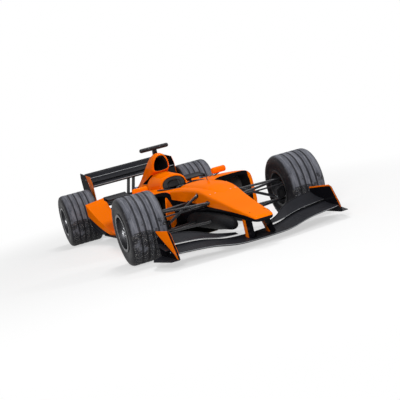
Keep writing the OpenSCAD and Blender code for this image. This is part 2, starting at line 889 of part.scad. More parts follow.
module front_upright(side) {
    x = kingpin_x;
    color("gray") on_side(side) {
        union() {
            translate([0, front_axle, axle_z]) upright_post(x, arm_up, arm_down);
            pin_and_lugs(front_upper);
            pin_and_lugs(front_lower);
            wheel_axis(x + eye_r + 2, front_axle) cylinder(r = stub_r, h = front_hub_x - x - eye_r);
            steering_arm_lugs(x);
            caliper(x);
        }
    }
}

front_hub_x = front_track - 20;

module steering_arm_lugs(x) {
    y = front_axle - steering_arm;
    for (s = [-1, 1]) translate([0, 0, rack_z + s * 15]) {
        translate([x, y, 0]) cylinder(r = 14, h = 8, center = true);
        translate([x - 8, y, -4]) cube([eye_r + 24, steering_arm - 10, 8]);
    }
    translate([x, y, rack_z - 15]) cylinder(r = arm_pin_r, h = 30);
}

module caliper(x) {
    y = front_axle + 96;
    box([x + eye_r + 2, front_axle + 10, axle_z - 45], [x + eye_r + 20, y + 50, axle_z + 45]);
}

module rear_uprights() {
    x = rear_track - 100;
    color("gray") both_sides() difference() {
        union() {
            translate([0, rear_axle, axle_z]) upright_post(x, arm_up, arm_down);
            pin_and_lugs(rear_upper);
            pin_and_lugs(rear_lower);
            wheel_axis(x + 6, rear_axle) cylinder(r = 52, h = 50);
        }
        wheel_axis(x - 40, rear_axle) cylinder(r = stub_r + shaft_fit, h = 200);
    }
}

// ---- steering ----

module track_rods() {
    y = rack_y;
    color(black) union() {
        along_rack(rack_r, rack_half);
        both_sides() difference() {
            union() {
                rod([rack_half - 1, y, rack_z], [kingpin_x - 12, y, rack_z], 8);
                translate([kingpin_x, y, rack_z - 5]) cylinder(r = 18, h = 10);
            }
            translate([kingpin_x, y, rack_z - 10]) cylinder(r = 11, h = 20);
        }
    }
}

wheel_tilt = 20;
wheel_centre = [0, front_axle + 960, 468];

// Turns Z to run forwards and down along the steering column
module along_column() {
    translate(wheel_centre) rotate([90 + wheel_tilt, 0, 0]) children();
}

module steering_column() {
    color("dimgray") along_column() translate([0, 0, -6]) cylinder(r = column_r, h = 420);
}

module rack_housing() {
    color("gray") difference() {
        along_rack(housing_r, housing_half);
        along_rack(rack_r + shaft_fit, housing_half + 1);
    }
}

module steering_wheel() {
    color(black) along_column() difference() {
        union() {
            linear_extrude(24, center = true) union() {
                intersection() {
                    difference() {
                        circle(steering_wheel_d / 2);
                        circle(steering_wheel_d / 2 - 30);
                    }
                    square([steering_wheel_d, 180], center = true);
                }
                square([steering_wheel_d - 44, 90], center = true);
            }
            cylinder(r = 28, h = 40);
        }
        translate([0, 0, -6.5]) cylinder(r = column_r + shaft_fit, h = 100);
    }
}

// ---- wheels ----

// Outline of the rim in [radius, distance inboard from the outer face]
module rim_profile(w) {
    lip = rim_r + rim_lip;
    polygon([[barrel_r, 0], [lip, 0], [lip, lip_w], [rim_r, 16], [rim_r, 60], [rim_r - 4, 64],
        [rim_r - 4, w - 64], [rim_r, w - 60], [rim_r, w - 16], [lip, w - lip_w], [lip, w],
        [barrel_r, w], [barrel_r, w - 60], [barrel_r - 4, w - 64], [barrel_r - 4, 64],
        [barrel_r, 60]]);
}

module rim(side, x, y, w, hub_in, disc_at, bore) {
    face = x + w / 2;
    color("silver") on_side(side) union() {
        translate([face, y, axle_z]) rotate([0, -90, 0]) rotate_extrude($fn = 96)
            rim_profile(w);
        difference() {
            union() {
                wheel_axis(face - 72, y) cylinder(r = centre_r, h = 40);
                for (a = [0 : 60 : 300])
                    wheel_axis(face - 62, y) rotate([0, 0, a])
                        translate([0, -spoke_w / 2, 0]) cube([barrel_r + 3, spoke_w, spoke_t]);
                wheel_axis(hub_in, y) cylinder(r = hub_r, h = face - 62 - hub_in);
                wheel_axis(disc_at, y) cylinder(r = disc_d / 2, h = disc_t);
            }
            wheel_axis(hub_in - 1, y) cylinder(r = bore, h = face - 80 - hub_in);
        }
    }
}

module tyre(side, x, y, w) {
    r = tyre_d / 2;
    pitch = w / 6.2;
    bead = rim_r + 0.2;
    color("dimgray") on_side(side) translate([x + w / 2, y, axle_z]) rotate([0, -90, 0])
        rotate_extrude($fn = 128) polygon(concat(
            [[bead, 17], [bead + 18, 10], [bead + 70, 2], [r - 70, 0], [r - 22, 8], [r - 6, 24],
             [r, 44]],
            [for (i = [-1.5 : 1 : 1.5], k = [0 : 3]) let (c = w / 2 + i * pitch,
                d = (k < 2 ? -1 : 1) * groove_w / 2)
                [k == 0 || k == 3 ? r : r - groove_depth, c + d]],
            [[r, w - 44], [r - 6, w - 24], [r - 22, w - 8], [r - 70, w], [bead + 70, w - 2],
             [bead + 18, w - 10], [bead, w - 17], [bead, w - 60]],
            [[bead + 14, w - 70], [bead + 14, 70], [bead, 60]]));
}

module front_rim(side) {
    rim(side, front_track, front_axle, front_tyre_w, kingpin_x + 60, kingpin_x + 62,
        stub_r + shaft_fit);
}

module rear_rim(side) {
    x = rear_track - 100;
    color("silver") union() {
        rim(side, rear_track, rear_axle, rear_tyre_w, x + 62, x + 64, half_shaft_r);
        on_side(side) {
            wheel_axis(x - 8, rear_axle) cylinder(r = stub_r, h = 90);
            wheel_axis(flange_x - 28, rear_axle) cylinder(r = half_shaft_r, h = x - flange_x + 40);
            wheel_axis(flange_x + 6, rear_axle) cylinder(r = joint_r, h = 60);
            wheel_axis(x - 56, rear_axle) cylinder(r = joint_r, h = 46);
        }
    }
}

monocoque();
nose_cone();
nose_pylons();
front_wing_plane();
front_wing_flaps();
front_wing_endplates();
keels();
floor();
plank();
sidepod(1);  // sidepod_left
sidepod(-1);  // sidepod_right
radiators();
engine_cover();
engine_block();
gearbox_casing();
rear_crash_structure();
diffuser();
rear_wing_planes();
rear_wing_beam();
rear_wing_endplates();
barge_boards();
mirrors();
camera_pod();
headrest();
seat();
steering_column();
front_wishbones();
rear_wishbones();
rear_uprights();
exhausts();
winglets();
wheel_fairings();
radio_antenna();
rack_housing();
steering_wheel();
track_rods();
front_upright(1);  // front_upright_left
front_upright(-1);  // front_upright_right
front_rim(1);  // rim_front_left
front_rim(-1);  // rim_front_right
rear_rim(1);  // rim_rear_left
rear_rim(-1);  // rim_rear_right
tyre(1, front_track, front_axle, front_tyre_w);  // tyre_front_left
tyre(-1, front_track, front_axle, front_tyre_w);  // tyre_front_right
tyre(1, rear_track, rear_axle, rear_tyre_w);  // tyre_rear_left
tyre(-1, rear_track, rear_axle, rear_tyre_w);  // tyre_rear_right
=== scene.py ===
"""Open wheel racing single-seater: finished body panels, wings, suspension, cockpit and wheels."""
import math

import bmesh
import bpy
from mathutils import Matrix, Vector


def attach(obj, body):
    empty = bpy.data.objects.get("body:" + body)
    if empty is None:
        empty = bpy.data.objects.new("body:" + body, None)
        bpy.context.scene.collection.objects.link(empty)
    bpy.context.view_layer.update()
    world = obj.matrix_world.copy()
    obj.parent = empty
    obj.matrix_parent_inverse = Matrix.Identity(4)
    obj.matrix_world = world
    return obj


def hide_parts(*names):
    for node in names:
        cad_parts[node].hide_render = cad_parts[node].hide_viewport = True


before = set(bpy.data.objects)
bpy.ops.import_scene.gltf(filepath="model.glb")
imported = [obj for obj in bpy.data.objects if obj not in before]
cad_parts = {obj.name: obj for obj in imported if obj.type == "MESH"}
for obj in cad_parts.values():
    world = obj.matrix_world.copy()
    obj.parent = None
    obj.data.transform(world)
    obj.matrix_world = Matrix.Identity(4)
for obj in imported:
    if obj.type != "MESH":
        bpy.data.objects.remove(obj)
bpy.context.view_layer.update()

# ---- sizes, in millimetres, as in the part's source ----

MM = 0.001
NOSE_Y, TAIL_Y = -2375, 2375
FRONT_AXLE, REAR_AXLE, AXLE_Z = -1295, 1855, 325
TUB_FRONT, TUB_REAR, PARTING_Z = -1475, 495, 512
FLOOR_Z, STEP_Z, FLOOR_T, SEAM = 48, 98, 12, 0.3
FRONT_TRACK, REAR_TRACK = 815, 785
FRONT_TYRE_W, REAR_TYRE_W = 370, 410
TYRE_R, RIM_R, RIM_WALL = 325, 165, 7
KINGPIN_X, RACK_Y, RACK_Z = 700, -1405, 372
POD_FRONT = -555
POD_Z = STEP_Z + FLOOR_T + SEAM
FRONT_SPAN, REAR_SPAN, PLATE_T = 1570, 1110, 8
WING_Y, REAR_WING_Z = NOSE_Y + 45, 850
WHEEL_CENTRE, WHEEL_TILT = Vector((0, -335, 468)), 20
DASH_Y = FRONT_AXLE + 595
INNER_TIP, REAR_TIP = FRONT_SPAN / 2 - PLATE_T, REAR_SPAN / 2 - PLATE_T
PIN_UP, PIN_LOW, REAR_PIN_X = AXLE_Z + 92, AXLE_Z - 104, REAR_TRACK - 100
FRONT_HUB_X, REAR_HUB_X = KINGPIN_X + 42, REAR_PIN_X + 44  # inner faces of the brake drums
RAMP_Y, RAMP_LENGTH = REAR_AXLE - 1200, 1200 - AXLE_Z - 40
FAR, LONG = 999, 3000  # past the sides and the ends of the car, for blocks that cut
PANEL_EDGE, PART_EDGE = 32, 40  # degrees at which an edge starts to look sharp


def rows_from(start, rows):
    """Rows that give their place along the car as a distance behind start."""
    return [(start + row[0], *row[1:]) for row in rows]


# Shell rows: y, middle x, half width, widest z, top z, bottom z, top exponent, low exponent, lean
nose_rows = [
    (NOSE_Y, 0, 74, 236, 258, 214, 4, 3),
    (NOSE_Y + 25, 0, 88, 240, 268, 207, 5, 3),
    (NOSE_Y + 160, 0, 100, 258, 297, 210, 7, 3),
    (NOSE_Y + 420, 0, 120, 298, 354, 232, 8, 3),
    (NOSE_Y + 680, 0, 142, 350, 418, 252, 8, 3),
    (TUB_FRONT, 0, 166, 400, 474, 268, 8, 3)]
tub_rows = [
    (TUB_FRONT, 0, 166, 400, 474, 268, 8, 3),
    (FRONT_AXLE, 0, 178, 424, 514, 262, 8, 3),
    (FRONT_AXLE + 300, 0, 200, 430, 537, 235, 8, 3),
    (FRONT_AXLE + 650, 0, 232, 400, 540, 170, 8, 4),
    (FRONT_AXLE + 1000, 0, 262, 380, 532, 96, 8, 6),
    (FRONT_AXLE + 1400, 0, 270, 340, 524, 52, 8, 8),
    (TUB_REAR, 0, 262, 330, 524, 52, 8, 8)]
hump_rows = rows_from(FRONT_AXLE, [
    (-230, 0, 44, 440, 462, 400, 3, 2),
    (-130, 0, 90, 450, 496, 400, 3, 2),
    (0, 0, 116, 470, 536, 400, 3, 2),
    (250, 0, 134, 490, 559, 400, 3, 2),
    (560, 0, 150, 500, 566, 400, 3, 2),
    (690, 0, 150, 500, 562, 400, 2.8, 2)])
cockpit_rows = rows_from(FRONT_AXLE, [
    (640, 0, 60, 540, 700, 420, 2, 2.5),
    (690, 0, 130, 520, 700, 330, 2.4, 2.5),
    (860, 0, 190, 500, 700, 180, 3, 4),
    (1100, 0, 214, 500, 700, 110, 4, 5),
    (1460, 0, 214, 500, 700, 95, 4, 5),
    (1700, 0, 205, 500, 700, 100, 4, 5),
    (TUB_REAR - FRONT_AXLE - 22, 0, 190, 500, 700, 110, 4, 5)])
leg_rows = rows_from(FRONT_AXLE, [
    (-60, 0, 110, 370, 420, 310, 4, 4),
    (300, 0, 140, 360, 440, 280, 4, 4),
    (700, 0, 180, 320, 440, 190, 4, 4),
    (900, 0, 180, 320, 430, 160, 4, 4)])
hoop_rows = rows_from(FRONT_AXLE, [
    (1350, 0, 142, 540, 640, 440, 2.3, 3),
    (1380, 0, 156, 540, 658, 440, 2.3, 3),
    (1500, 0, 164, 540, 668, 440, 2.2, 3),
    (1700, 0, 176, 530, 690, 440, 2, 3),
    (TUB_REAR - FRONT_AXLE, 0, 190, 520, 690, 440, 2, 3),
    (2150, 0, 180, 480, 650, 400, 2, 3),
    (2550, 0, 150, 430, 560, 350, 2, 3),
    (REAR_AXLE - FRONT_AXLE - 60, 0, 96, 360, 450, 300, 2, 3)])
deck_rows = rows_from(FRONT_AXLE, [
    (1336, 0, 262, 500, 526, 460, 4, 3),
    (1400, 0, 267, 500, 530, 460, 4, 3),
    (TUB_REAR - FRONT_AXLE, 0, 262, 420, 530, 120, 3, 4),
    (2150, 0, 246, 400, 500, 110, 2.6, 4),
    (2550, 0, 196, 380, 465, 130, 2.4, 4),
    (2900, 0, 140, 350, 425, 180, 2.2, 3),
    (REAR_AXLE - FRONT_AXLE - 60, 0, 108, 330, 400, 210, 2, 3)])
airbox_rows = rows_from(FRONT_AXLE, [
    (1688, 0, 88, 752, 888, 704, 2, 3, -0.36),
    (1712, 0, 104, 752, 903, 694, 2, 3, -0.36),
    (1770, 0, 113, 742, 912, 676, 1.9, 3, -0.34),
    (1930, 0, 120, 690, 892, 600, 1.8, 2.6, -0.2),
    (2250, 0, 112, 590, 760, 480, 1.7, 2.4, -0.05),
    (2600, 0, 84, 510, 620, 420, 1.8, 2.4, 0),
    (2900, 0, 66, 455, 520, 380, 2, 2.4, 0),
    (REAR_AXLE - FRONT_AXLE - 60, 0, 54, 415, 465, 360, 2, 2.4, 0)])
throat_rows = rows_from(FRONT_AXLE, [
    (1640, 0, 84, 752, 880, 708, 2, 3, -0.36),
    (1720, 0, 84, 752, 880, 708, 2, 3, -0.36),
    (1980, 0, 76, 730, 850, 670, 2, 3, -0.2)])
pod_rows = rows_from(POD_FRONT, [
    (0, 452, 222, 330, 528, POD_Z, 5, 5),
    (60, 452, 232, 330, 540, POD_Z, 5, 6),
    (500, 440, 248, 320, 530, POD_Z, 4.5, 7),
    (1000, 400, 262, 300, 498, POD_Z, 4, 7),
    (1450, 330, 228, 270, 430, POD_Z, 3.4, 7),
    (1820, 235, 175, 230, 350, POD_Z, 3, 7),
    (2050, 190, 110, 200, 290, POD_Z, 3, 7)])
duct_rows = rows_from(POD_FRONT, [
    (-40, 455, 190, 335, 500, 160, 5, 4),
    (60, 455, 190, 335, 500, 160, 5, 4),
    (520, 455, 190, 320, 480, STEP_Z + 45, 4.5, 5)])
keel_rows = rows_from(FRONT_AXLE, [
    (-760, 166, 14, 205, 218, 192, 2, 2),
    (-735, 166, 44, 204, 244, 164, 2, 2),
    (-660, 164, 62, 206, 266, 158, 2.2, 2),
    (-520, 160, 66, 206, 282, 154, 2.4, 2),
    (-300, 148, 54, 200, 292, 138, 2.4, 2),
    (-60, 138, 48, 200, 300, 134, 2.6, 2),
    (200, 150, 42, 200, 300, 138, 2.6, 2),
    (420, 165, 32, 200, 290, 150, 2.4, 2),
    (560, 170, 18, 200, 240, 172, 2, 2)])
# Wing rows: x, leading edge y, z, chord, thickness, camber, angle
plane_half = [
    (0, WING_Y, 66, 330, 26, 16, 4),
    (240, WING_Y + 8, 72, 330, 26, 16, 5),
    (480, WING_Y + 60, 110, 320, 26, 18, 7),
    (INNER_TIP, WING_Y + 105, 130, 300, 24, 18, 8)]
flap_half = [
    (140, WING_Y + 318, 112, 50, 8, 2, 10),
    (300, WING_Y + 324, 126, 130, 12, 8, 11),
    (500, WING_Y + 351, 165, 255, 14, 16, 12),
    (INNER_TIP, WING_Y + 375, 186, 280, 14, 18, 15)]


# ---- finishes ----

def add_node(tree, kind, settings=None, inputs=None, out=0):
    """New node's output; each input is a value or the output that feeds it."""
    made = tree.nodes.new(kind)
    for key, value in (settings or {}).items():
        if key == "stops":
            set_stops(made.color_ramp, value)
        else:
            setattr(made, key, value)
    for key, value in (inputs or {}).items():
        if isinstance(value, (Wire, bpy.types.NodeSocket)):
            tree.links.new(getattr(value, "socket", value), made.inputs[key])
        else:
            made.inputs[key].default_value = value
    return made.outputs[out]


def set_stops(ramp, stops):
    while len(ramp.elements) > 1:
        ramp.elements.remove(ramp.elements[-1])
    for index, (place, shade) in enumerate(stops):
        stop = ramp.elements[0] if index == 0 else ramp.elements.new(place)
        stop.position = place
        stop.color = (*shade, 1) if isinstance(shade, tuple) else (shade, shade, shade, 1)


def tinted(colour, scale, lift=0.0):
    return tuple(min(1, scale * c + lift) for c in colour)


class Wire:
    """A shader socket that takes part in arithmetic."""

    def __init__(self, finish, socket):
        self.finish, self.socket = finish, socket

    def _sum(self, operation, first, second=0.0, third=0.0):
        return self.finish.node("ShaderNodeMath", {"operation": operation},
                                {0: first, 1: second, 2: third})

    def __add__(self, other): return self._sum("ADD", self, other)
    def __radd__(self, other): return self._sum("ADD", other, self)
    def __sub__(self, other): return self._sum("SUBTRACT", self, other)
    def __rsub__(self, other): return self._sum("SUBTRACT", other, self)
    def __mul__(self, other): return self._sum("MULTIPLY", self, other)
    def __rmul__(self, other): return self._sum("MULTIPLY", other, self)
    def __truediv__(self, other): return self._sum("DIVIDE", self, other)
    def __abs__(self): return self._sum("ABSOLUTE", self)
    def most(self, other): return self._sum("MAXIMUM", self, other)
    def sine(self): return self._sum("SINE", self)
    def root(self): return self._sum("SQRT", self)
    def angle(self, other): return self._sum("ARCTAN2", self, other)

    def ripple(self, rate):
        """Waves between 0 and 1."""
        return (self * rate).sine() * 0.5 + 0.5


class Finish:
    """One procedural material on a Principled shader."""

    def __init__(self, name, colour=(0.5, 0.5, 0.5), **constants):
        self.material = bpy.data.materials.new(name)
        self.material.use_nodes = True
        self.tree = self.material.node_tree
        self.tree.nodes.clear()
        end = self.tree.nodes.new("ShaderNodeOutputMaterial")
        self.shader = self.tree.nodes.new("ShaderNodeBsdfPrincipled")
        self.tree.links.new(self.shader.outputs[0], end.inputs["Surface"])
        self.set("Base Color", (*colour, 1))
        for key, value in constants.items():
            self.set(key.replace("_", " ").title().replace("Ior", "IOR"), value)

    def node(self, kind, settings=None, inputs=None, out=0):
        return Wire(self, add_node(self.tree, kind, settings, inputs, out))

    def set(self, socket, value):
        if isinstance(value, Wire):
            self.tree.links.new(value.socket, self.shader.inputs[socket])
        else:
            self.shader.inputs[socket].default_value = value

    def done(self, colour, rough, normal=None):
        """The material, once its colour, roughness and relief are set."""
        self.set("Base Color", colour)
        self.set("Roughness", rough)
        if normal:
            self.set("Normal", normal)
        return self.material

    # Places on the piece

    def place(self, centre=(0, 0, 0)):
        spot = self.node("ShaderNodeTexCoord", out=3)
        if any(centre):
            spot = self.node("ShaderNodeMapping", None,
                             {"Vector": spot, "Location": tuple(-c * MM for c in centre)})
        return spot

    def axes(self, centre=(0, 0, 0)):
        return self.apart(self.place(centre))

    def facing(self):
        return self.apart(self.node("ShaderNodeTexCoord", out=1))

    def apart(self, vector):
        return [self.node("ShaderNodeSeparateXYZ", None, {0: vector}, out=i) for i in range(3)]

    # Patterns

    def noise(self, scale, detail=3.0, rough=0.55, where=None, stretch=None):
        spot = where or self.place()
        if stretch:
            spot = self.node("ShaderNodeMapping", None, {"Vector": spot, "Scale": stretch})
        return self.node("ShaderNodeTexNoise", None,
                         {"Vector": spot, "Scale": scale, "Detail": detail, "Roughness": rough})

    def cells(self, scale):
        return self.node("ShaderNodeTexVoronoi", None, {"Vector": self.place(), "Scale": scale})

    def step(self, value, low, high):
        """Smooth rise from 0 at low to 1 at high; a fall where low is the larger."""
        return self.node("ShaderNodeMapRange", {"interpolation_type": "SMOOTHSTEP"},
                         {"Value": value, "From Min": low, "From Max": high})

    def line(self, value, points):
        """Piecewise straight curve through (value, result) points; results from 0 to 1."""
        low, high = points[0][0], points[-1][0]
        share = self.node("ShaderNodeMapRange", None,
                          {"Value": value, "From Min": low, "From Max": high})
        stops = [((v - low) / (high - low), r) for v, r in points]
        return self.node("ShaderNodeValToRGB", {"stops": stops}, {0: share})

    def blend(self, factor, first, second):
        first = first if isinstance(first, Wire) else (*first, 1)
        second = second if isinstance(second, Wire) else (*second, 1)
        sockets = {0: factor, 6: first, 7: second}
        return self.node("ShaderNodeMix", {"data_type": "RGBA"}, sockets, 2)

    def bump(self, height, strength, distance, under=None):
        sockets = {"Height": height, "Strength": strength, "Distance": distance}
        if under:
            sockets["Normal"] = under
        return self.node("ShaderNodeBump", None, sockets)


ORANGE = (0.92, 0.18, 0.001)
BLACK_PAINT = (0.006, 0.006, 0.008)


def grime(f):
    """Road film that gathers low on the car, from 0 to 1."""
    z = f.axes()[2]
    streaks = f.noise(9, 5, 0.65, stretch=(1, 0.25, 1))
    return f.step(streaks + (0.10 - z) * 1.2, 0.52, 0.9)


def painted(name, orange_mask=None):
    """Clear-coated racing paint; orange_mask(f) is 1 where it is orange."""
    f = Finish(name, ORANGE, roughness=0.34, specular_ior_level=0.0, coat_weight=0.06,
               coat_roughness=0.06)
    colour = f.blend(f.noise(2.2, 3), (0.90, 0.156, 0.0), (1.0, 0.200, 0.001))
    if orange_mask:
        colour = f.blend(orange_mask(f), BLACK_PAINT, colour)
    chips = f.step(f.cells(260), 0.085, 0.06) * f.step(f.noise(7, 3), 0.56, 0.68)
    colour = f.blend(chips * 0.8, colour, (0.06, 0.05, 0.045))
    film = grime(f)
    colour = f.blend(film * 0.25, colour, (0.10, 0.075, 0.05))
    f.set("Coat Weight", 0.06 - film * 0.03 - chips * 0.02)
    peel = f.bump(f.noise(420, 2), 0.05, 0.0006)
    return f.done(colour, f.noise(40, 4) * 0.12 + 0.27 + film * 0.3,
                  f.bump(f.noise(16, 2), 0.04, 0.004, peel))


def above_split(f):
    """Orange above the line that drops from the cockpit side to the nose tip."""
    y, z = f.axes()[1:]
    height = f.line(y, [(-2.375, 0.240), (-2.235, 0.268), (-2.0, 0.298), (-1.523, 0.350),
                        (-1.127, 0.394), (-0.405, 0.448), (0.0, 0.475), (0.6, 0.510)])
    return f.step(z - height, -0.0012, 0.0012)


def woven(name, gloss=0.42, coat=0.04, tint=(0.0065, 0.0068, 0.009), pitch=0.0045):
    """Lacquered carbon twill, its threads laid along the face it is on."""
    f = Finish(name, tint, roughness=gloss, specular_ior_level=0.03, coat_weight=coat,
               coat_roughness=0.14)
    x, y, z = f.axes()
    nx, ny, _ = f.facing()
    side_on = f.step(abs(nx), 0.6, 0.75)
    front_on = f.step(abs(ny), 0.6, 0.75)
    across = x + (y - x) * side_on
    along = (y + (z - y) * side_on) + (z - y) * front_on * (1 - side_on)
    u, v = across / pitch, along / pitch
    warp = ((u + v) * (math.pi / 2)).sine()
    weft = ((u - v) * (math.pi / 2)).sine()
    twill = f.step(warp * 0.6 + weft * 0.6, -0.5, 0.5)
    cloud = f.noise(6, 4)
    light = tinted(tint, 2.3, 0.006)
    colour = f.blend(twill * 0.55 + cloud * 0.35, tint, light)
    film = grime(f)
    colour = f.blend(film * 0.3, colour, (0.060, 0.053, 0.046))
    return f.done(colour,
                  twill * 0.08 + gloss + f.noise(30, 4) * 0.14 + film * 0.25,
                  f.bump(twill, 0.12, 0.0003))


def enamel(name, colour, light, rough=0.42, coat=0.0, metal=0.0, grain=90, bump=0.08):
    """Even factory finish with faint mottling, scuffs and rubbed patches."""
    f = Finish(name, colour, roughness=rough, coat_weight=coat, coat_roughness=0.15,
               metallic=metal, specular_ior_level=0.5 if metal else 0.18)
    patch = f.noise(14, 5, 0.6)
    scuff = f.step(f.noise(60, 6, 0.7, stretch=(1, 0.15, 1)), 0.58, 0.78)
    shade = f.blend(patch, colour, light)
    return f.done(f.blend(scuff * 0.35, shade, tinted(light, 1.8, 0.02)),
                  rough - 0.08 + f.noise(grain, 3) * 0.2 + scuff * 0.1,
                  f.bump(f.noise(grain * 6, 2), bump, 0.0005))


def machined(name, centre):
    """Turned metal with rings round a wheel's axle."""
    colour, rough = (0.62, 0.63, 0.66), 0.28
    f = Finish(name, colour, roughness=rough, metallic=1.0)
    y, z = f.axes(centre)[1:]
    radius = (y * y + z * z).root()
    rings = radius.ripple(5200)
    stain = f.noise(26, 5, 0.65)
    return f.done(f.blend(f.step(stain, 0.45, 0.8) * 0.6, colour, tinted(colour, 0.45)),
                  rough + rings * 0.06 + stain * 0.2 - 0.06,
                  f.bump(rings, 0.08, 0.0003))


def tyre_rubber(name, centre, width):
    """Grooved slick: rubbed tread ribs, dark patches that gather towards the bottom as painted
    shade with picked-up crumbs and light specks only inside them, dark shoulders and moulded sides.
    """
    f = Finish(name, (0.02, 0.021, 0.024), roughness=0.6, specular_ior_level=0.10)
    x, y, z = f.axes(centre)
    radius = (y * y + z * z).root()
    turn = z.angle(y)
    tread = f.step(radius, 0.311, 0.3225)
    groove = tread - f.step(radius, 0.3212, 0.3246)
    groove = groove.most(0.0) * f.step(abs(x), width * 0.40 * MM, width * 0.36 * MM)
    spot = f.node("ShaderNodeCombineXYZ", None, {0: x, 1: turn * 0.325, 2: radius})
    wear = f.noise(4, 6, 0.7, where=spot, stretch=(6, 0.7, 1))
    streak = f.noise(28, 5, 0.7, where=spot, stretch=(6, 0.35, 1))
    # Dark patches: random mottling plus painted shade, more of them towards the bottom of the tyre.
    patches = f.step(f.noise(6.5, 4, 0.65, where=spot) - z * 1.1, 0.45, 0.60)
    crumbs = f.step(f.noise(58, 6, 0.72, where=spot, stretch=(1.6, 1, 1)), 0.50, 0.58)
    bits = f.step(f.noise(74, 4, 0.6, where=spot, stretch=(2.2, 1, 1)), 0.585, 0.64)
    rubbed = f.blend(f.step(wear * 0.6 + streak * 0.4, 0.34, 0.66), (0.040, 0.043, 0.055),
                     (0.200, 0.205, 0.235))
    # Painted shade: the patches darken the lower part of the tread, and the crumbs and light specks
    # show only there.
    rubbed = f.blend(patches * 0.85, rubbed, (0.011, 0.011, 0.013))
    rubbed = f.blend(crumbs * patches * 0.85, rubbed, (0.006, 0.006, 0.007))
    rubbed = f.blend(bits * patches * 0.95, rubbed, (0.40, 0.39, 0.37))
    rubbed = f.blend(groove * 0.92, rubbed, (0.003, 0.003, 0.004))
    side = f.blend(f.noise(24, 5, where=spot), (0.004, 0.004, 0.005), (0.018, 0.018, 0.022))
    rings = f.step((radius * 900).sine(), 0.2, 0.9) * f.step(radius, 0.25, 0.20)
    side = f.blend(rings * 0.3, side, (0.05, 0.05, 0.055))
    scuffs = f.step(f.noise(46, 6, 0.75, where=spot, stretch=(1, 0.6, 1)), 0.56, 0.66)
    side = f.blend(scuffs * 0.6, side, (0.12, 0.115, 0.11))
    grain = f.bump(f.noise(260, 4, 0.7, where=spot), 0.25, 0.0009)
    return f.done(f.blend(tread, side, rubbed), 0.42 + tread * 0.14 + wear * 0.16 - rings * 0.08,
                  f.bump(crumbs * patches * tread + streak * 0.5 * tread, 0.35, 0.0014, grain))


def foam_fabric(name, colour, light):
    """Fire-proof knit over foam, rubbed in patches."""
    f = Finish(name, colour, roughness=0.85, sheen_weight=0.25, sheen_roughness=0.5)
    x, y, z = f.axes()
    rib = (x * 1500).sine() * ((y + z) * 1500).sine() * 0.5 + 0.5
    rubbed = f.noise(38, 6, 0.7)
    return f.done(f.blend(rubbed * 0.8 + rib * 0.2, colour, light),
                  0.78 + rib * 0.15,
                  f.bump(rib + rubbed * 0.6, 0.3, 0.0007))


def webbing(name, colour):
    """Flat woven strap with ribs across it, darker in patches."""
    f = Finish(name, colour, roughness=0.7, sheen_weight=0.3)
    y, z = f.axes()[1:]
    rib = (y + z).ripple(2400)
    return f.done(f.blend(rib * 0.4 + f.noise(60) * 0.4, colour, tinted(colour, 0.45)),
                  0.62 + rib * 0.2,
                  f.bump(rib, 0.3, 0.0005))


def heat_metal(name):
    """Thin alloy pipe, straw and blue where it has been hot."""
    f = Finish(name, (0.45, 0.40, 0.34), roughness=0.3, metallic=1.0)
    z = f.axes()[2]
    band = f.noise(12, 4, 0.6) * 0.35 + (z - 0.42) * 5
    stops = [(0.0, (0.16, 0.13, 0.10)), (0.35, (0.20, 0.12, 0.06)), (0.55, (0.10, 0.06, 0.08)),
             (0.75, (0.06, 0.07, 0.12)), (1.0, (0.12, 0.12, 0.12))]
    return f.done(f.node("ShaderNodeValToRGB", {"stops": stops}, {0: band}),
                  f.noise(50, 4) * 0.2 + 0.2,
                  f.bump(f.noise(300, 2), 0.06, 0.0004))


def skid_board(name):
    """Pressed board in thin layers with scraped runs along the car."""
    f = Finish(name, (0.20, 0.12, 0.06), roughness=0.75)
    z = f.axes()[2]
    layers = z.ripple(5200)
    scrape = f.noise(30, 6, 0.7, stretch=(3, 0.12, 1))
    return f.done(f.blend(scrape * 0.6 + layers * 0.4, (0.10, 0.058, 0.030), (0.30, 0.19, 0.10)),
                  0.62 + scrape * 0.25,
                  f.bump(scrape + layers * 0.4, 0.3, 0.0008))


def core_matrix(name):
    """Radiator face, folded fins between flat tubes."""
    f = Finish(name, (0.06, 0.062, 0.066), roughness=0.5, metallic=0.6)
    x = f.axes()[0]
    fins = x.ripple(2600)
    dirt = f.noise(18, 5)
    return f.done(f.blend(fins * 0.5 + dirt * 0.3, (0.012, 0.012, 0.014), (0.13, 0.135, 0.14)),
                  0.4 + dirt * 0.3,
                  f.bump(fins, 0.6, 0.001))


def lens(name, colour):
    """Moulded lamp lens with a grid of prisms."""
    f = Finish(name, colour, roughness=0.12, coat_weight=1.0, coat_roughness=0.03)
    x, _, z = f.axes()
    prisms = (x * 1250).sine() * (z * 1250).sine() * 0.5 + 0.5
    return f.done(f.blend(prisms * 0.5 + f.noise(30) * 0.2, colour, tinted(colour, 1.9)),
                  0.1 + prisms * 0.12,
                  f.bump(prisms, 0.5, 0.0008))


def mirror_glass(name):
    """Silvered glass with a faint film of dirt."""
    f = Finish(name, (0.80, 0.82, 0.85), roughness=0.03, metallic=1.0)
    film = f.noise(22, 5, 0.6)
    return f.done(f.blend(film * 0.3, (0.84, 0.86, 0.88), (0.6, 0.61, 0.63)),
                  0.02 + film * 0.06)


def front_plate_mask(f):
    """Orange behind the sloping front edge and above a line that climbs to the rear."""
    y, z = f.axes()[1:]
    front = f.step(y + 2.235 - (z - 0.076) * 0.60, -0.0015, 0.0015)
    low = f.line(y, [(-2.30, 0.0), (-2.20, 0.070), (-2.136, 0.118), (-1.90, 0.208), (-1.72, 0.282),
                     (-1.655, 0.330)])
    return front * f.step(z - low, -0.0015, 0.0015) * f.step(-1.665 - y, -0.0015, 0.0015)


def plate_edge_mask(f):
    """Thin orange outline on the inner face's top and front edges."""
    y, z = f.axes()[1:]
    top = f.step(z - f.line(y, [(-2.15, 0.300), (-2.10, 0.308), (-1.69, 0.288), (-1.6, 0.288)]),
                 -0.001, 0.001)
    slope = y + 2.240 - (z - 0.150) * 0.60
    front = f.step(0.012 - slope, -0.001, 0.001)
    return top.most(front)


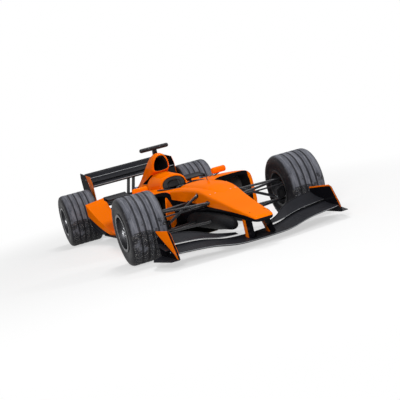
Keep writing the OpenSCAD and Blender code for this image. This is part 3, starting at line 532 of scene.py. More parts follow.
def pod_mask(f):
    """Orange, but for the face round the duct mouth inside of the outer wall."""
    x, y, _ = f.axes()
    return f.step(y, -0.545, -0.543).most(f.step(abs(x), 0.636, 0.638))


def rear_plate_mask(f):
    """Orange on the outer face, ahead of a line that leans back."""
    x, y, z = f.axes()
    return f.step(y - (z - 0.838) * 0.566, 2.031, 2.029) * f.step(abs(x), 0.550, 0.552)


def pylon_mask(f):
    """Orange behind a line that leans back."""
    y, z = f.axes()[1:]
    return f.step(y - (z - 0.06) * 0.347, -2.186, -2.184)


def vane_mask(f):
    """Black below a shallow V."""
    y, z = f.axes()[1:]
    return f.step(z - f.line(y, [(-0.76, 0.205), (-0.69, 0.166), (-0.60, 0.205)]), -0.001, 0.001)


# ---- mesh tools ----

def spow(value, power):
    """Power that keeps the sign."""
    return math.copysign(abs(value) ** power, value)


def smooth(rows, steps):
    """Rows with more of them between each pair, on a Catmull-Rom curve."""
    found = []
    last = len(rows) - 1
    for i in range(last):
        a, b, c, d = rows[max(i - 1, 0)], rows[i], rows[i + 1], rows[min(i + 2, last)]
        for s in range(steps):
            t = s / steps
            found.append(tuple(
                0.5 * (2 * q + (r - p) * t + (2 * p - 5 * q + 4 * r - e) * t * t
                       + (3 * q - p - 3 * r + e) * t ** 3)
                for p, q, r, e in zip(a, b, c, d)))
    return found + [tuple(float(v) for v in rows[last])]


def round_points(count):
    return [(math.cos(2 * math.pi * i / count), math.sin(2 * math.pi * i / count))
            for i in range(count)]


def ways(points):
    """Each point of a path with the direction of the path there."""
    last = len(points) - 1
    return [(p, (points[min(i + 1, last)] - points[max(i - 1, 0)]).normalized())
            for i, p in enumerate(points)]


def new_object(name, data):
    made = bpy.data.objects.new(name, data)
    bpy.context.scene.collection.objects.link(made)
    return made


def section(row, grow, count):
    """Ring of one shell row, grown outwards."""
    y, middle, half, widest, top, bottom, top_power, low_power = row[:8]
    lean = row[8] if len(row) > 8 else 0
    ring = []
    for c, s in round_points(count):
        power = 2 / (top_power if s >= 0 else low_power)
        rise = ((top - widest if s >= 0 else widest - bottom) + grow) * spow(s, power)
        ring.append((middle + (half + grow) * spow(c, power), y + lean * rise, widest + rise))
    return ring


def solid(name, points, faces, finish=None):
    """Mesh object from points in millimetres, its faces turned outwards."""
    mesh = bpy.data.meshes.new(name)
    mesh.from_pydata([tuple(c * MM for c in p) for p in points], [], faces)
    shape = bmesh.new()
    shape.from_mesh(mesh)
    bmesh.ops.remove_doubles(shape, verts=shape.verts, dist=1e-6)
    bmesh.ops.recalc_face_normals(shape, faces=shape.faces)
    shape.to_mesh(mesh)
    shape.free()
    if finish:
        mesh.materials.append(finish)
    return new_object(name, mesh)


def skin(name, rings, finish=None):
    """Closed skin over rings of equal counts."""
    n = len(rings[0])
    points = [p for ring in rings for p in ring]
    faces = [(i * n + j, i * n + (j + 1) % n, (i + 1) * n + (j + 1) % n, (i + 1) * n + j)
             for i in range(len(rings) - 1) for j in range(n)]
    faces += [tuple(range(n))[::-1], tuple(range((len(rings) - 1) * n, len(rings) * n))]
    return solid(name, points, faces, finish)


def shell(name, rows, grow=0, steps=6, count=72, finish=None):
    return skin(name, [section(r, grow, count) for r in smooth(rows, steps)], finish)


def box(name, low, high, finish=None):
    (a, b, c), (d, e, f) = low, high
    points = [(x, y, z) for x in (a, d) for y in (b, e) for z in (c, f)]
    faces = [(0, 1, 3, 2), (4, 6, 7, 5), (0, 4, 5, 1), (2, 3, 7, 6), (0, 2, 6, 4), (1, 5, 7, 3)]
    return solid(name, points, faces, finish)


def across(name, outline, x0, x1, finish=None):
    """Plate along X from x0 to x1 with a [y, z] outline."""
    return skin(name, [[(x, y, z) for y, z in outline] for x in (x0, x1)], finish)


def slab(name, outline, z0, z1, finish=None):
    """Plate from z0 up to z1 with an [x, y] outline."""
    return skin(name, [[(x, y, z) for x, y in outline] for z in (z0, z1)], finish)


def turned_about(name, profile, centre, axis=(1, 0, 0), turns=96, finish=None):
    """Closed lathe of a [radius, distance along the axis] outline."""
    w = Vector(axis).normalized()
    u = w.orthogonal().normalized()
    v = w.cross(u)
    middle = Vector(centre)
    points = []
    for c, s in round_points(turns):
        points += [tuple(middle + (u * c + v * s) * r + w * h) for r, h in profile]
    n = len(profile)
    faces = [(i * n + j, i * n + (j + 1) % n, ((i + 1) % turns) * n + (j + 1) % n,
              ((i + 1) % turns) * n + j) for i in range(turns) for j in range(n)]
    return solid(name, points, faces, finish)


def disc(name, radius, centre, axis, height, finish=None, turns=32, edge=0.0):
    """Round bar from centre along axis, its far rim eased by edge."""
    profile = [(0.01, 0), (radius, 0), (radius, height - edge), (radius - edge, height),
               (0.01, height)]
    return turned_about(name, profile, centre, axis, turns, finish)


def along(name, path, radius, finish=None, sides=12):
    """Round bar through points, with one radius or one for each point."""
    points = [Vector(p) for p in path]
    radii = radius if isinstance(radius, (list, tuple)) else [radius] * len(points)
    rings = []
    side = None
    for r, (p, way) in zip(radii, ways(points)):
        side = (side - way * side.dot(way) if side else way.orthogonal()).normalized()
        up = way.cross(side)
        rings.append([tuple(p + side * r * c + up * r * s) for c, s in round_points(sides)])
    return skin(name, rings, finish)


def strut(name, start, end, chord=44, thick=15, finish=None, count=28, swell=None):
    """Bar of streamlined section, its chord along the car; swell widens it at given shares."""
    a, b = Vector(start), Vector(end)
    w = (b - a).normalized()
    u = (Vector((0, 1, 0)) - w * w[1]).normalized()
    v = w.cross(u)
    rings = []
    for share, scale in (swell or [(0, 1), (1, 1)]):
        p = a.lerp(b, share)
        rings.append([tuple(p + u * (chord / 2 * scale * c)
                            + v * (thick / 2 * (0.5 + scale / 2) * spow(s, 1.2)))
                      for c, s in round_points(count)])
    return skin(name, rings, finish)


def foil(chord, thick, camber, count=28):
    """Wing section outline: [distance back, height]."""
    def half(s):
        return 5 * thick * (0.2969 * math.sqrt(s) - 0.126 * s - 0.3516 * s * s
                            + 0.2843 * s ** 3 - 0.1036 * s ** 4) + 1.5 * s

    def middle(s):
        return -4 * camber * s * (1 - s)

    shares = [(1 - math.cos(math.pi * i / count)) / 2 for i in range(count + 1)]
    return ([(chord * s, middle(s) + half(s)) for s in shares]
            + [(chord * s, middle(s) - half(s)) for s in shares[:0:-1]])


def placed_foil(y, z, chord, thick, camber, angle, count=28):
    """Wing section with its leading edge at y, z, turned nose down by angle."""
    a = math.radians(angle)
    return [(y + p * math.cos(a) - q * math.sin(a), z + p * math.sin(a) + q * math.cos(a))
            for p, q in foil(chord, thick, camber, count)]


def wing(name, rows, finish=None):
    return skin(name, [[(r[0], y, z) for y, z in placed_foil(*r[1:7])] for r in rows], finish)


def trailing_edge(rows, inside):
    """Points along a wing's trailing edge, a little ahead of it and above it."""
    turns = [(row, math.radians(row[6])) for row in rows]
    return [(x, y + chord * math.cos(a) - inside, z + chord * math.sin(a) + inside)
            for (x, y, z, chord, *_), a in turns]


def other_side(rows):
    """The same wing rows on the other side of the car, in order."""
    return [(-r[0], *r[1:]) for r in rows[::-1]]


def cut(target, *tools, operation="DIFFERENCE"):
    """Solid boolean of target with each tool."""
    for tool in tools:
        change = target.modifiers.new("cut", "BOOLEAN")
        change.operation, change.solver, change.object = operation, "MANIFOLD", tool
        change.material_mode = "TRANSFER"
        bake(target)
        bpy.data.objects.remove(tool)
    return target


def bake(target):
    """Modifiers made part of the mesh."""
    bpy.context.view_layer.update()
    view = bpy.context.evaluated_depsgraph_get()
    mesh = bpy.data.meshes.new_from_object(target.evaluated_get(view))
    target.modifiers.clear()
    old = target.data
    target.data = mesh
    bpy.data.meshes.remove(old)
    return target


def joined(name, parts):
    """One object from several; each keeps its own finish."""
    mesh = bpy.data.meshes.new(name)
    whole = bmesh.new()
    finishes = []
    for part in parts:
        slots = []
        for m in part.data.materials:
            if m not in finishes:
                finishes.append(m)
            slots.append(finishes.index(m))
        start = len(whole.faces)
        whole.from_mesh(part.data)
        whole.faces.ensure_lookup_table()
        for face in whole.faces[start:]:
            face.material_index = slots[face.material_index] if slots else 0
    whole.to_mesh(mesh)
    whole.free()
    for m in finishes:
        mesh.materials.append(m)
    for part in parts:
        bpy.data.objects.remove(part)
    return new_object(name, mesh)


def flipped(part, name=None):
    """Copy mirrored to the other side of the car."""
    mesh = part.data.copy()
    shape = bmesh.new()
    shape.from_mesh(mesh)
    for v in shape.verts:
        v.co.x = -v.co.x
    bmesh.ops.reverse_faces(shape, faces=shape.faces)
    shape.to_mesh(mesh)
    shape.free()
    return new_object(name or part.name + "_right", mesh)


def both(part):
    """The part with its mirror image."""
    return joined(part.name, [part, flipped(part)])


def eased(part, width=1.2, segments=2, angle=30):
    """Rounded edges and smooth faces between them."""
    if width:
        bevel = part.modifiers.new("eased edges", "BEVEL")
        bevel.width, bevel.segments, bevel.limit_method = width * MM, segments, "ANGLE"
        bevel.angle_limit = math.radians(angle)
        bevel.harden_normals = False
    return shade(part, angle)


def shade(part, angle=30):
    """Smooth faces, with sharp edges past the angle."""
    mesh = part.data
    mesh.shade_smooth()
    mesh.set_sharp_from_angle(angle=math.radians(angle))
    return part


def place_piece(part, body, slot, *nodes):
    """A finished piece: what carries it, its material slot (not used) and the solids that it stands
    for.
    """
    part.name = part.name.replace(" ", "_")
    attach(part, body)
    if nodes:
        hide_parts(*nodes)


def fixed(part, slot, *nodes):
    """A finished piece of the chassis."""
    place_piece(part, "chassis", slot, *nodes)


# ---- repeated fittings, made by node trees ----

def tree_of(name, **sockets):
    """Geometry node tree that takes a shape and the named values, and its inputs."""
    tree = bpy.data.node_groups.new(name, "GeometryNodeTree")
    for title, kind in {"Geometry": "Geometry", **sockets}.items():
        tree.interface.new_socket(title, in_out="INPUT", socket_type="NodeSocket" + kind)
    tree.interface.new_socket("Geometry", in_out="OUTPUT", socket_type="NodeSocketGeometry")
    return tree, tree.nodes.new("NodeGroupInput").outputs


def spread_over(tree, points, part, turn, finish):
    """The part at every point, turned there, made real and given its finish."""
    spread = add_node(tree, "GeometryNodeInstanceOnPoints", None,
                      {"Points": points, "Instance": part, "Rotation": turn})
    real = add_node(tree, "GeometryNodeRealizeInstances", None, {0: spread})
    ready = add_node(tree, "GeometryNodeSetMaterial", None, {"Geometry": real, "Material": finish})
    tree.links.new(ready, tree.nodes.new("NodeGroupOutput").inputs[0])
    return tree


def fastener_tree():
    """Heads with a hexagonal drive at every point, each turned along its stored direction."""
    tree, given = tree_of("panel fasteners", Radius="Float", Height="Float", Sides="Int",
                          Finish="Material")
    pair = tree.nodes.new("GeometryNodeJoinGeometry")
    head = add_node(tree, "GeometryNodeMeshCylinder", None, {
        "Radius": given["Radius"], "Depth": given["Height"], "Vertices": given["Sides"]})
    narrow, tall = (add_node(tree, "ShaderNodeMath", {"operation": "MULTIPLY"},
                             {0: given[size], 1: share})
                    for size, share in (("Radius", 0.5), ("Height", 1.35)))
    drive = add_node(tree, "GeometryNodeMeshCylinder", None, {
        "Vertices": 6, "Radius": narrow, "Depth": tall})
    for part in (head, drive):
        tree.links.new(part, pair.inputs[0])
    facing = add_node(tree, "GeometryNodeInputNamedAttribute", {"data_type": "FLOAT_VECTOR"},
                      {"Name": "facing"})
    turn = add_node(tree, "FunctionNodeAlignRotationToVector", {"axis": "Z"}, {"Vector": facing})
    return spread_over(tree, given["Geometry"], pair.outputs[0], turn, given["Finish"])


def array_tree():
    """Copies of the piece set round the X axis through a centre, evenly turned."""
    tree, given = tree_of("round the axle", Count="Int", Centre="Vector", Start="Float",
                          Finish="Material")
    points = add_node(tree, "GeometryNodePoints", None, {
        "Count": given["Count"], "Position": given["Centre"]})
    share = add_node(tree, "ShaderNodeMath", {"operation": "DIVIDE"}, {
        0: add_node(tree, "GeometryNodeInputIndex"), 1: given["Count"]})
    angle = add_node(tree, "ShaderNodeMath", {"operation": "MULTIPLY_ADD"}, {
        0: share, 1: 2 * math.pi, 2: given["Start"]})
    turn = add_node(tree, "ShaderNodeCombineXYZ", None, {"X": angle})
    return spread_over(tree, points, given["Geometry"], turn, given["Finish"])


def run_tree(target, tree, **values):
    """The tree's values set and its result made part of the mesh."""
    change = target.modifiers.new(tree.name, "NODES")
    change.node_group = tree
    for item in tree.interface.items_tree:
        if item.in_out == "INPUT" and item.name in values:
            change[item.identifier] = values[item.name]
    return bake(target)


FASTENERS, ROUND_AXLE = fastener_tree(), array_tree()


def fasteners(name, spots, finish, radius=6, height=2.4, sides=12):
    """Heads at (point, direction) pairs in millimetres."""
    mesh = bpy.data.meshes.new(name)
    mesh.from_pydata([tuple(c * MM for c in p) for p, _ in spots], [], [])
    facing = mesh.attributes.new("facing", "FLOAT_VECTOR", "POINT")
    for row, (_, way) in zip(facing.data, spots):
        row.vector = way
    return shade(run_tree(new_object(name, mesh), FASTENERS, Radius=radius * MM,
                          Height=height * MM, Sides=sides, Finish=finish), 35)


def round_axle(part, centre, count, finish, start=0.0):
    """Part, modelled about the X axis through the origin, repeated round a wheel's centre."""
    return run_tree(part, ROUND_AXLE, Count=count, Centre=tuple(c * MM for c in centre),
                    Start=start, Finish=finish)


# ---- camera and light ----

def aim_camera():
    azimuth, elevation, roll = (math.radians(v) for v in (-17.48, 5.17, -14.21))
    target, distance = Vector((0.1297, -0.314, 0.3328)), 9.698
    back = Vector((math.sin(azimuth) * math.cos(elevation),
                   -math.cos(azimuth) * math.cos(elevation), math.sin(elevation)))
    level = (-back).cross(Vector((0, 0, 1))).normalized()
    above = level.cross(-back)
    right, up = (level * math.cos(roll) + above * math.sin(roll),
                 above * math.cos(roll) - level * math.sin(roll))
    view = bpy.data.cameras.new("camera")
    view.lens, view.sensor_width = 81.62, 36
    camera = new_object("camera", view)
    spin = Matrix((right, up, back)).transposed().to_4x4()
    spin.translation = target + back * distance
    camera.matrix_world = spin
    bpy.context.scene.camera = camera


def area_lamp(name, spot, target, size, power):
    lamp = bpy.data.lights.new(name, "AREA")
    lamp.shape, lamp.size, lamp.energy = "DISK", size, power
    made = new_object(name, lamp)
    made.location = spot
    made.rotation_euler = (Vector(target) - Vector(spot)).to_track_quat("-Z", "Y").to_euler()


def light_studio():
    """Three lamps in a soft white room, which shows brighter than it shines."""
    area_lamp("overhead lamp", (1.0, 0.2, 6.5), (0, 0, 0), 2.4, 190)
    area_lamp("side lamp", (5.5, -4.5, 4.5), (0, -0.6, 0.4), 1.4, 110)
    area_lamp("front lamp", (-2.8, -7.2, 2.8), (0, -0.4, 0.3), 1.4, 260)
    world = bpy.data.worlds.new("studio")
    bpy.context.scene.world = world
    world.use_nodes = True
    tree = world.node_tree
    tree.nodes.clear()
    soft, white = (add_node(tree, "ShaderNodeBackground", None, {0: (1, 1, 1, 1), 1: strength})
                   for strength in (0.30, 1.0))
    mix = add_node(tree, "ShaderNodeMixShader", None, {0: seen_ray(tree), 1: soft, 2: white})
    tree.links.new(mix, tree.nodes.new("ShaderNodeOutputWorld").inputs[0])


def seen_ray(tree):
    """1 for what the camera, a glossy surface or a clear one looks at."""
    path = tree.nodes.new("ShaderNodeLightPath")
    total = path.outputs["Is Camera Ray"]
    for name in ("Is Glossy Ray", "Is Transmission Ray"):
        total = add_node(tree, "ShaderNodeMath", {"operation": "MAXIMUM"},
                         {0: total, 1: path.outputs[name]})
    return total


def lay_floor():
    """Pale plane that keeps a light shadow of the car and fades to white away from it."""
    edge = 60000
    floor = solid("studio floor", [(-edge, -edge, 0), (edge, -edge, 0), (edge, edge, 0),
                                   (-edge, edge, 0)], [(0, 1, 2, 3)])
    f = Finish("studio floor", (0.90, 0.90, 0.90), roughness=0.95, specular_ior_level=0.1)
    x, y = f.axes()[:2]
    near = (x * x + y * y * 0.5).root()
    f.set("Base Color", f.blend(f.noise(2.0, 3) * 0.2, (0.90, 0.90, 0.90), (0.86, 0.86, 0.87)))
    glow = add_node(f.tree, "ShaderNodeEmission", None, {0: (1, 1, 1, 1), 1: 1.0})
    share = f.step(near, 1.2, 4.2) * 0.45 + 0.55
    mix = add_node(f.tree, "ShaderNodeMixShader", None, {
        0: share * Wire(f, seen_ray(f.tree)), 1: f.shader.outputs[0], 2: glow})
    end = next(n for n in f.tree.nodes if n.type == "OUTPUT_MATERIAL")
    f.tree.links.new(mix, end.inputs["Surface"])
    floor.data.materials.append(f.material)


aim_camera()
light_studio()
lay_floor()
bpy.context.scene.view_settings.view_transform = "Standard"

# ---- the finishes used ----

paint = painted("orange racing paint")
split_paint = painted("orange over black racing paint", above_split)
pod_paint = painted("orange paint with a black mouth", pod_mask)
plate_paint = painted("black plate with an orange flash", front_plate_mask)
edge_paint = painted("black plate with an orange edge", plate_edge_mask)
rear_plate_paint = painted("rear plate, orange ahead of black", rear_plate_mask)
pylon_paint = painted("black pylon with an orange trailing edge", pylon_mask)
vane_paint = painted("orange vane with a black foot", vane_mask)
carbon = woven("lacquered carbon twill")
# Matt carbon whose tint is darker than the lacquered carbon's as painted shade, for parts that sit
# under or inside others.
matt_carbon_darkened_as_shade = woven("matt carbon twill", gloss=0.5, coat=0.01, tint=(0.0045, 0.0047, 0.0057))
satin_black = enamel("satin black enamel", (0.0085, 0.0085, 0.0105), (0.021, 0.021, 0.025),
                     rough=0.36, coat=0.1)
rough_black = enamel("moulded black plastic", (0.007, 0.007, 0.008), (0.016, 0.016, 0.018),
                     rough=0.6, bump=0.2)
cockpit_black = enamel("cockpit lining", (0.005, 0.005, 0.006), (0.012, 0.012, 0.013),
                       rough=0.7, bump=0.15)
cast_alloy = enamel("cast alloy", (0.21, 0.215, 0.225), (0.34, 0.345, 0.36), rough=0.42,
                    metal=1.0, bump=0.25)
dark_alloy = enamel("anodised dark alloy", (0.055, 0.056, 0.060), (0.10, 0.10, 0.108),
                    rough=0.36, metal=1.0)
bright_steel = enamel("bright steel", (0.52, 0.53, 0.55), (0.66, 0.67, 0.69), rough=0.24,
                      metal=1.0, bump=0.04)
magnesium = enamel("cast magnesium", (0.42, 0.42, 0.42), (0.66, 0.66, 0.66),
                   rough=0.34, metal=1.0, bump=0.2)
brake_carbon = enamel("brake carbon", (0.050, 0.040, 0.034), (0.14, 0.085, 0.06), rough=0.55,
                      metal=0.2, bump=0.3)
caliper_red = enamel("caliper lacquer", (0.16, 0.045, 0.02), (0.26, 0.08, 0.03), rough=0.3,
                     coat=0.5)
pipe_metal = heat_metal("heat tinted pipe")
board_wood = skid_board("pressed skid board")
core_metal = core_matrix("radiator core")
foam = foam_fabric("headrest knit", (0.006, 0.006, 0.007), (0.038, 0.038, 0.042))
seat_cloth = foam_fabric("seat cover cloth", (0.016, 0.016, 0.018), (0.05, 0.05, 0.053))
suede = foam_fabric("grip suede", (0.02, 0.02, 0.021), (0.05, 0.05, 0.052))
strap_cloth = webbing("harness webbing", (0.02, 0.02, 0.024))
glass = mirror_glass("silvered glass")
lamp_red = lens("lamp lens", (0.32, 0.012, 0.010))
screen = enamel("display glass", (0.010, 0.013, 0.018), (0.03, 0.036, 0.045), rough=0.08,
                coat=1.0, bump=0.0)
button_colours = {hue: enamel(f"{hue} cap", dark, light, rough=0.35) for hue, dark, light in (
    ("red", (0.5, 0.02, 0.015), (0.62, 0.03, 0.02)),
    ("yellow", (0.72, 0.42, 0.02), (0.82, 0.5, 0.03)),
    ("green", (0.03, 0.3, 0.06), (0.04, 0.4, 0.08)),
    ("blue", (0.02, 0.09, 0.42), (0.03, 0.12, 0.5)))}


# ---- tub, nose and covers ----

def body_tub(name, grow=0, steps=8, count=96, finish=None):
    tub = shell(name, tub_rows, grow, steps, count, finish)
    return cut(tub, shell("hump", hump_rows, grow, steps, 64, finish), operation="UNION")


def body_cover(name, grow=0, steps=8, count=84, finish=None):
    cover = shell(name, hoop_rows, grow, steps, count, finish)
    cut(cover, shell("deck", deck_rows, grow, steps, count, finish), operation="UNION")
    return cut(cover, shell("airbox", airbox_rows, grow, steps, count, finish), operation="UNION")


def make_tub():
    tub = body_tub("tub shell", finish=split_paint)
    legs = shell("leg room", leg_rows, 0, 4, 40, cockpit_black)
    cut(legs, box("dash bulkhead", (-FAR, DASH_Y, -FAR), (FAR, DASH_Y + 12, FAR), cockpit_black))
    rear = FRONT_AXLE + 1330
    column = along("column way", [WHEEL_CENTRE, on_column(440)], 15, cockpit_black, 20)
    ends = [(x, RACK_Y, RACK_Z) for x in (-201, 201)]
    rack = along("rack way", ends, 18.5, cockpit_black, 24)
    cut(tub, shell("cockpit room", cockpit_rows, 0, 6, 64, cockpit_black), legs,
        box("cover seat", (-FAR, rear, PARTING_Z), (FAR, TUB_REAR + 10, FAR), cockpit_black),
        box("under floor", (-FAR, -LONG, -FAR), (FAR, LONG, FLOOR_Z + FLOOR_T + SEAM), carbon),
        column, rack)
    fixed(shade(tub, PANEL_EDGE), "body_orange", "monocoque")


def on_column(distance):
    """Point along the steering column, from the wheel forwards and down."""
    tilt = math.radians(90 + WHEEL_TILT)
    return WHEEL_CENTRE + Vector((0, -math.sin(tilt), math.cos(tilt))) * distance


def make_nose():
    nose = shell("nose shell", nose_rows, 0, 8, 96, split_paint)
    cut(nose, body_tub("tub gap", 1.2, 4, 72, rough_black))
    fixed(shade(nose, PANEL_EDGE), "body_orange", "nose_cone")


def vent_outline():
    y = FRONT_AXLE + 1815
    return [(y, 682), (y + 8, 588), (y + 360, 584)]


EXHAUST_AT = Vector((178, FRONT_AXLE + 2330, 450))
EXHAUST_WAY = (Matrix.Rotation(math.radians(10), 3, "Z")
               @ Matrix.Rotation(math.radians(-50), 3, "X") @ Vector((0, 0, 1)))


def make_cover():
    cover = body_cover("engine cover", finish=paint)
    ahead = FRONT_AXLE + 1300
    pocket_rows = [(ahead if r[0] < FRONT_AXLE + 1360 else r[0], *r[1:]) for r in hoop_rows]
    pocket = shell("headrest pocket", pocket_rows, -18, 4, 56, cockpit_black)
    limit = box("pocket limit", (-235, FRONT_AXLE + 1280, 400), (235, FRONT_AXLE + 1480, 680),
                cockpit_black)
    cut(pocket, limit, operation="INTERSECT")
    cut(cover,
        box("tub room", (-FAR, TUB_FRONT, -1), (FAR, TUB_REAR + SEAM, PARTING_Z + 2), rough_black),
        shell("intake throat", throat_rows, 0, 6, 64, cockpit_black),
        box("engine room", (-170, TUB_REAR - 1, 0), (170, TUB_REAR + 582, 430), rough_black),
        box("gearbox room", (-130, TUB_REAR + 559, 0), (130, REAR_AXLE + 200, 330), rough_black),
        pocket,
        across("vent way", vent_outline(), -400, 400, rough_black))
    for side in (-1, 1):
        at, way = (v * Vector((side, 1, 1)) for v in (EXHAUST_AT, EXHAUST_WAY))
        cut(cover, disc("pipe way", 40, at, way, 200, rough_black, 40))
    fixed(shade(cover, PANEL_EDGE), "body_orange", "engine_cover")


def make_intake_lining():
    """Black lining a little inside the intake's orange lip."""
    lining = shell("intake lining", throat_rows, 1.5, 6, 64, rough_black)
    cut(lining, shell("intake bore", throat_rows, -7, 6, 64, cockpit_black))
    cut(lining, box("lining trim", (-200, FRONT_AXLE + 1600, 600), (200, FRONT_AXLE + 1706, 1000)))
    fixed(shade(lining, PANEL_EDGE), "carbon_black")


def make_sidepods():
    pod = shell("left sidepod", pod_rows, 0, 8, 84, pod_paint)
    cut(pod, shell("left duct", duct_rows, 0, 6, 64, cockpit_black),
        box("centre room", (-FAR, -LONG, -50), (0, LONG, FAR), rough_black),
        box("engine room", (-50, TUB_REAR - 1, 0), (175, TUB_REAR + 582, 425), rough_black),
        body_tub("tub gap", 1.0, 4, 64, rough_black),
        body_cover("cover gap", 1.0, 4, 56, rough_black),
        disc("pipe way", 40, EXHAUST_AT - EXHAUST_WAY, EXHAUST_WAY, 200, rough_black, 40))
    other = flipped(pod, "right sidepod")
    for piece, node in ((pod, "sidepod_left"), (other, "sidepod_right")):
        fixed(shade(piece, PANEL_EDGE), "body_orange", node)


def make_keels():
    keel = shell("keels", keel_rows, 0, 6, 48, matt_carbon_darkened_as_shade)
    cut(keel, body_tub("tub gap", 0.5, 4, 64, matt_carbon_darkened_as_shade),
        shell("nose gap", nose_rows, 0.5, 4, 64, matt_carbon_darkened_as_shade))
    fixed(shade(both(keel), PANEL_EDGE), "carbon_black", "keels")


# ---- wings ----

def make_front_wing():
    half = smooth(plane_half, 8)
    plane = wing("front wing plane", other_side(half)[:-1] + half, carbon)
    fixed(shade(plane, PART_EDGE), "carbon_black", "front_wing_plane")
    flaps = smooth(flap_half, 8)
    flap = wing("front wing flaps", flaps, carbon)
    fixed(shade(both(flap), PART_EDGE), "carbon_black", "front_wing_flaps")
    lip = along("flap trailing lips", trailing_edge(flaps, 3), 2.6, satin_black, 6)
    fixed(shade(both(lip), PART_EDGE), "carbon_black")
    # Light alloy strips along the leading and trailing edges: painted highlights on the wing's
    # edges.
    edges = [along("front edge", [(x, y - 1, z) for x, y, z, *_ in rows], 2.2, cast_alloy, 6)
             for rows in (half, flaps)]
    edges.append(along("back edge", trailing_edge(half, 0), 2.0, cast_alloy, 6))
    fixed(shade(both(joined("front wing painted highlight strips", edges)), PART_EDGE), "bare_metal")
    strakes = []
    for x in (520, 570, 620, 670, 720):
        share = (x - 480) / (INNER_TIP - 480)
        y0, z0 = WING_Y + 60 + 45 * share, 110 + 20 * share
        outline = [(y0 + 60, z0 - 4), (y0 + 200, z0 - 24), (y0 + 290, z0 - 22), (y0 + 300, z0 + 20),
                   (y0 + 120, z0 - 6)]
        strakes.append(across("strake", outline, x, x + 4, matt_carbon_darkened_as_shade))
    fixed(eased(both(joined("wing strakes", strakes)), 0.6), "carbon_black")


def make_front_plates():
    x, y0 = INNER_TIP, WING_Y + 70
    outline = [(y0, 78), (y0 + 560, 70), (y0 + 582, 150), (y0 + 570, 300), (y0 + 160, 320),
               (y0 + 110, 300), (y0 + 20, 150)]
    outer = across("plate", outline, x + 2, x + PLATE_T, plate_paint)
    inner = across("plate lining", outline, x, x + 2.2, edge_paint)
    foot = slab("foot", [(x, y0 + 560), (x, y0 + 20), (x + 75, y0 + 30), (x + 150, y0 + 330),
                         (x + 120, y0 + 430)], 70, 76, carbon)
    fin = [(y0 + 210, 150), (y0 + 470, 190), (y0 + 480, 196), (y0 + 215, 156)]
    turning = across("plate fin", fin, x + PLATE_T, x + PLATE_T + 46, carbon)
    plates = both(joined("front wing plates", [outer, inner, foot, turning]))
    fixed(eased(plates, 1.5), "carbon_black", "front_wing_endplates")


def make_pylons():
    pylon = strut("nose pylons", (104, WING_Y + 120, 60), (74, WING_Y + 190, 262), 220, 14,
                  pylon_paint, 48)
    cut(pylon, shell("nose gap", nose_rows, 0.3, 4, 64, carbon))
    fixed(shade(both(pylon), PART_EDGE), "carbon_black", "nose_pylons")


def rear_element(name, y, z, chord, thick, camber, angle, finish):
    """Full-width plane of the rear wing."""
    outline = placed_foil(y, z, chord, thick, camber, angle, 36)
    return across(name, outline, -REAR_TIP, REAR_TIP, finish)


def make_rear_wing():
    planes = joined("rear wing planes", [
        rear_element("main", TAIL_Y - 650, REAR_WING_Z - 182, 290, 30, 26, 12, carbon),
        rear_element("slot", TAIL_Y - 470, REAR_WING_Z - 140, 120, 14, 10, 26, carbon),
        rear_element("flap", TAIL_Y - 392, REAR_WING_Z - 108, 150, 16, 14, 38, carbon)])
    fixed(shade(planes, PART_EDGE), "carbon_black", "rear_wing_planes")
    # Light alloy strips along the planes' edges: painted highlights.
    reach = REAR_TIP - 4
    strips = [along("edge strip", [(-reach, y, z), (0, y, z), (reach, y, z)], 4, cast_alloy, 8)
              for y, z in ((TAIL_Y - 648, REAR_WING_Z - 178), (TAIL_Y - 368, REAR_WING_Z - 120),
                           (TAIL_Y - 366, REAR_WING_Z - 84))]
    fixed(shade(joined("rear wing painted highlight strips", strips), PART_EDGE), "bare_metal")
    beam = rear_element("beam", TAIL_Y - 280, 392, 220, 22, 18, 12, matt_carbon_darkened_as_shade)
    leg = [(TAIL_Y - 250, 395), (TAIL_Y - 130, 420), (TAIL_Y - 440, REAR_WING_Z - 150),
           (TAIL_Y - 560, REAR_WING_Z - 160)]
    post = across("post", leg, 30, 38, carbon)
    stand = box("stand", (-34, TAIL_Y - 230, 340), (34, TAIL_Y - 130, 396), matt_carbon_darkened_as_shade)
    beam = joined("rear wing beam", [beam, both(post), stand])
    fixed(eased(beam, 1.0), "carbon_black", "rear_wing_beam")
    outline = [(TAIL_Y - 320, 330), (TAIL_Y - 60, 330), (TAIL_Y, 420), (TAIL_Y, REAR_WING_Z - 60),
               (TAIL_Y - 40, REAR_WING_Z), (TAIL_Y - 600, REAR_WING_Z - 60),
               (TAIL_Y - 660, REAR_WING_Z - 150), (TAIL_Y - 640, 480), (TAIL_Y - 380, 470)]
    plate = across("rear wing plates", outline, REAR_TIP, REAR_TIP + PLATE_T, rear_plate_paint)
    fixed(eased(both(plate), 1.2), "carbon_black", "rear_wing_endplates")


# ---- fins, fairings and mirrors ----

def make_barge_boards():
    """Upright orange vanes between the tub and the duct mouths."""
    rows = [(395, 390, 543, 205, 330), (372, 366, 567, 178, 400), (348, 340, 595, 165, 482),
            (326, 314, 619, 150, 455), (297, 278, 655, 122, 372), (277, 254, 692, POD_Z, 285)]
    rings = []
    for x0, x1, behind, low, high in smooth(rows, 6):
        y = FRONT_AXLE + behind
        rings.append([(x0 + 4, y + 3, low), (x1 + 4, y + 3, high), (x1 - 4, y - 3, high),
                      (x0 - 4, y - 3, low)])
    board = skin("barge boards", rings, vane_paint)
    fixed(eased(both(board), 2.5, 3), "body_orange", "barge_boards")


def ramp_line(share):
    """y, height and outer x of a flip-up's top, from its front to its rear."""
    return RAMP_Y + RAMP_LENGTH * share, 119 + 363 * share ** 1.4, 640 + 110 * share


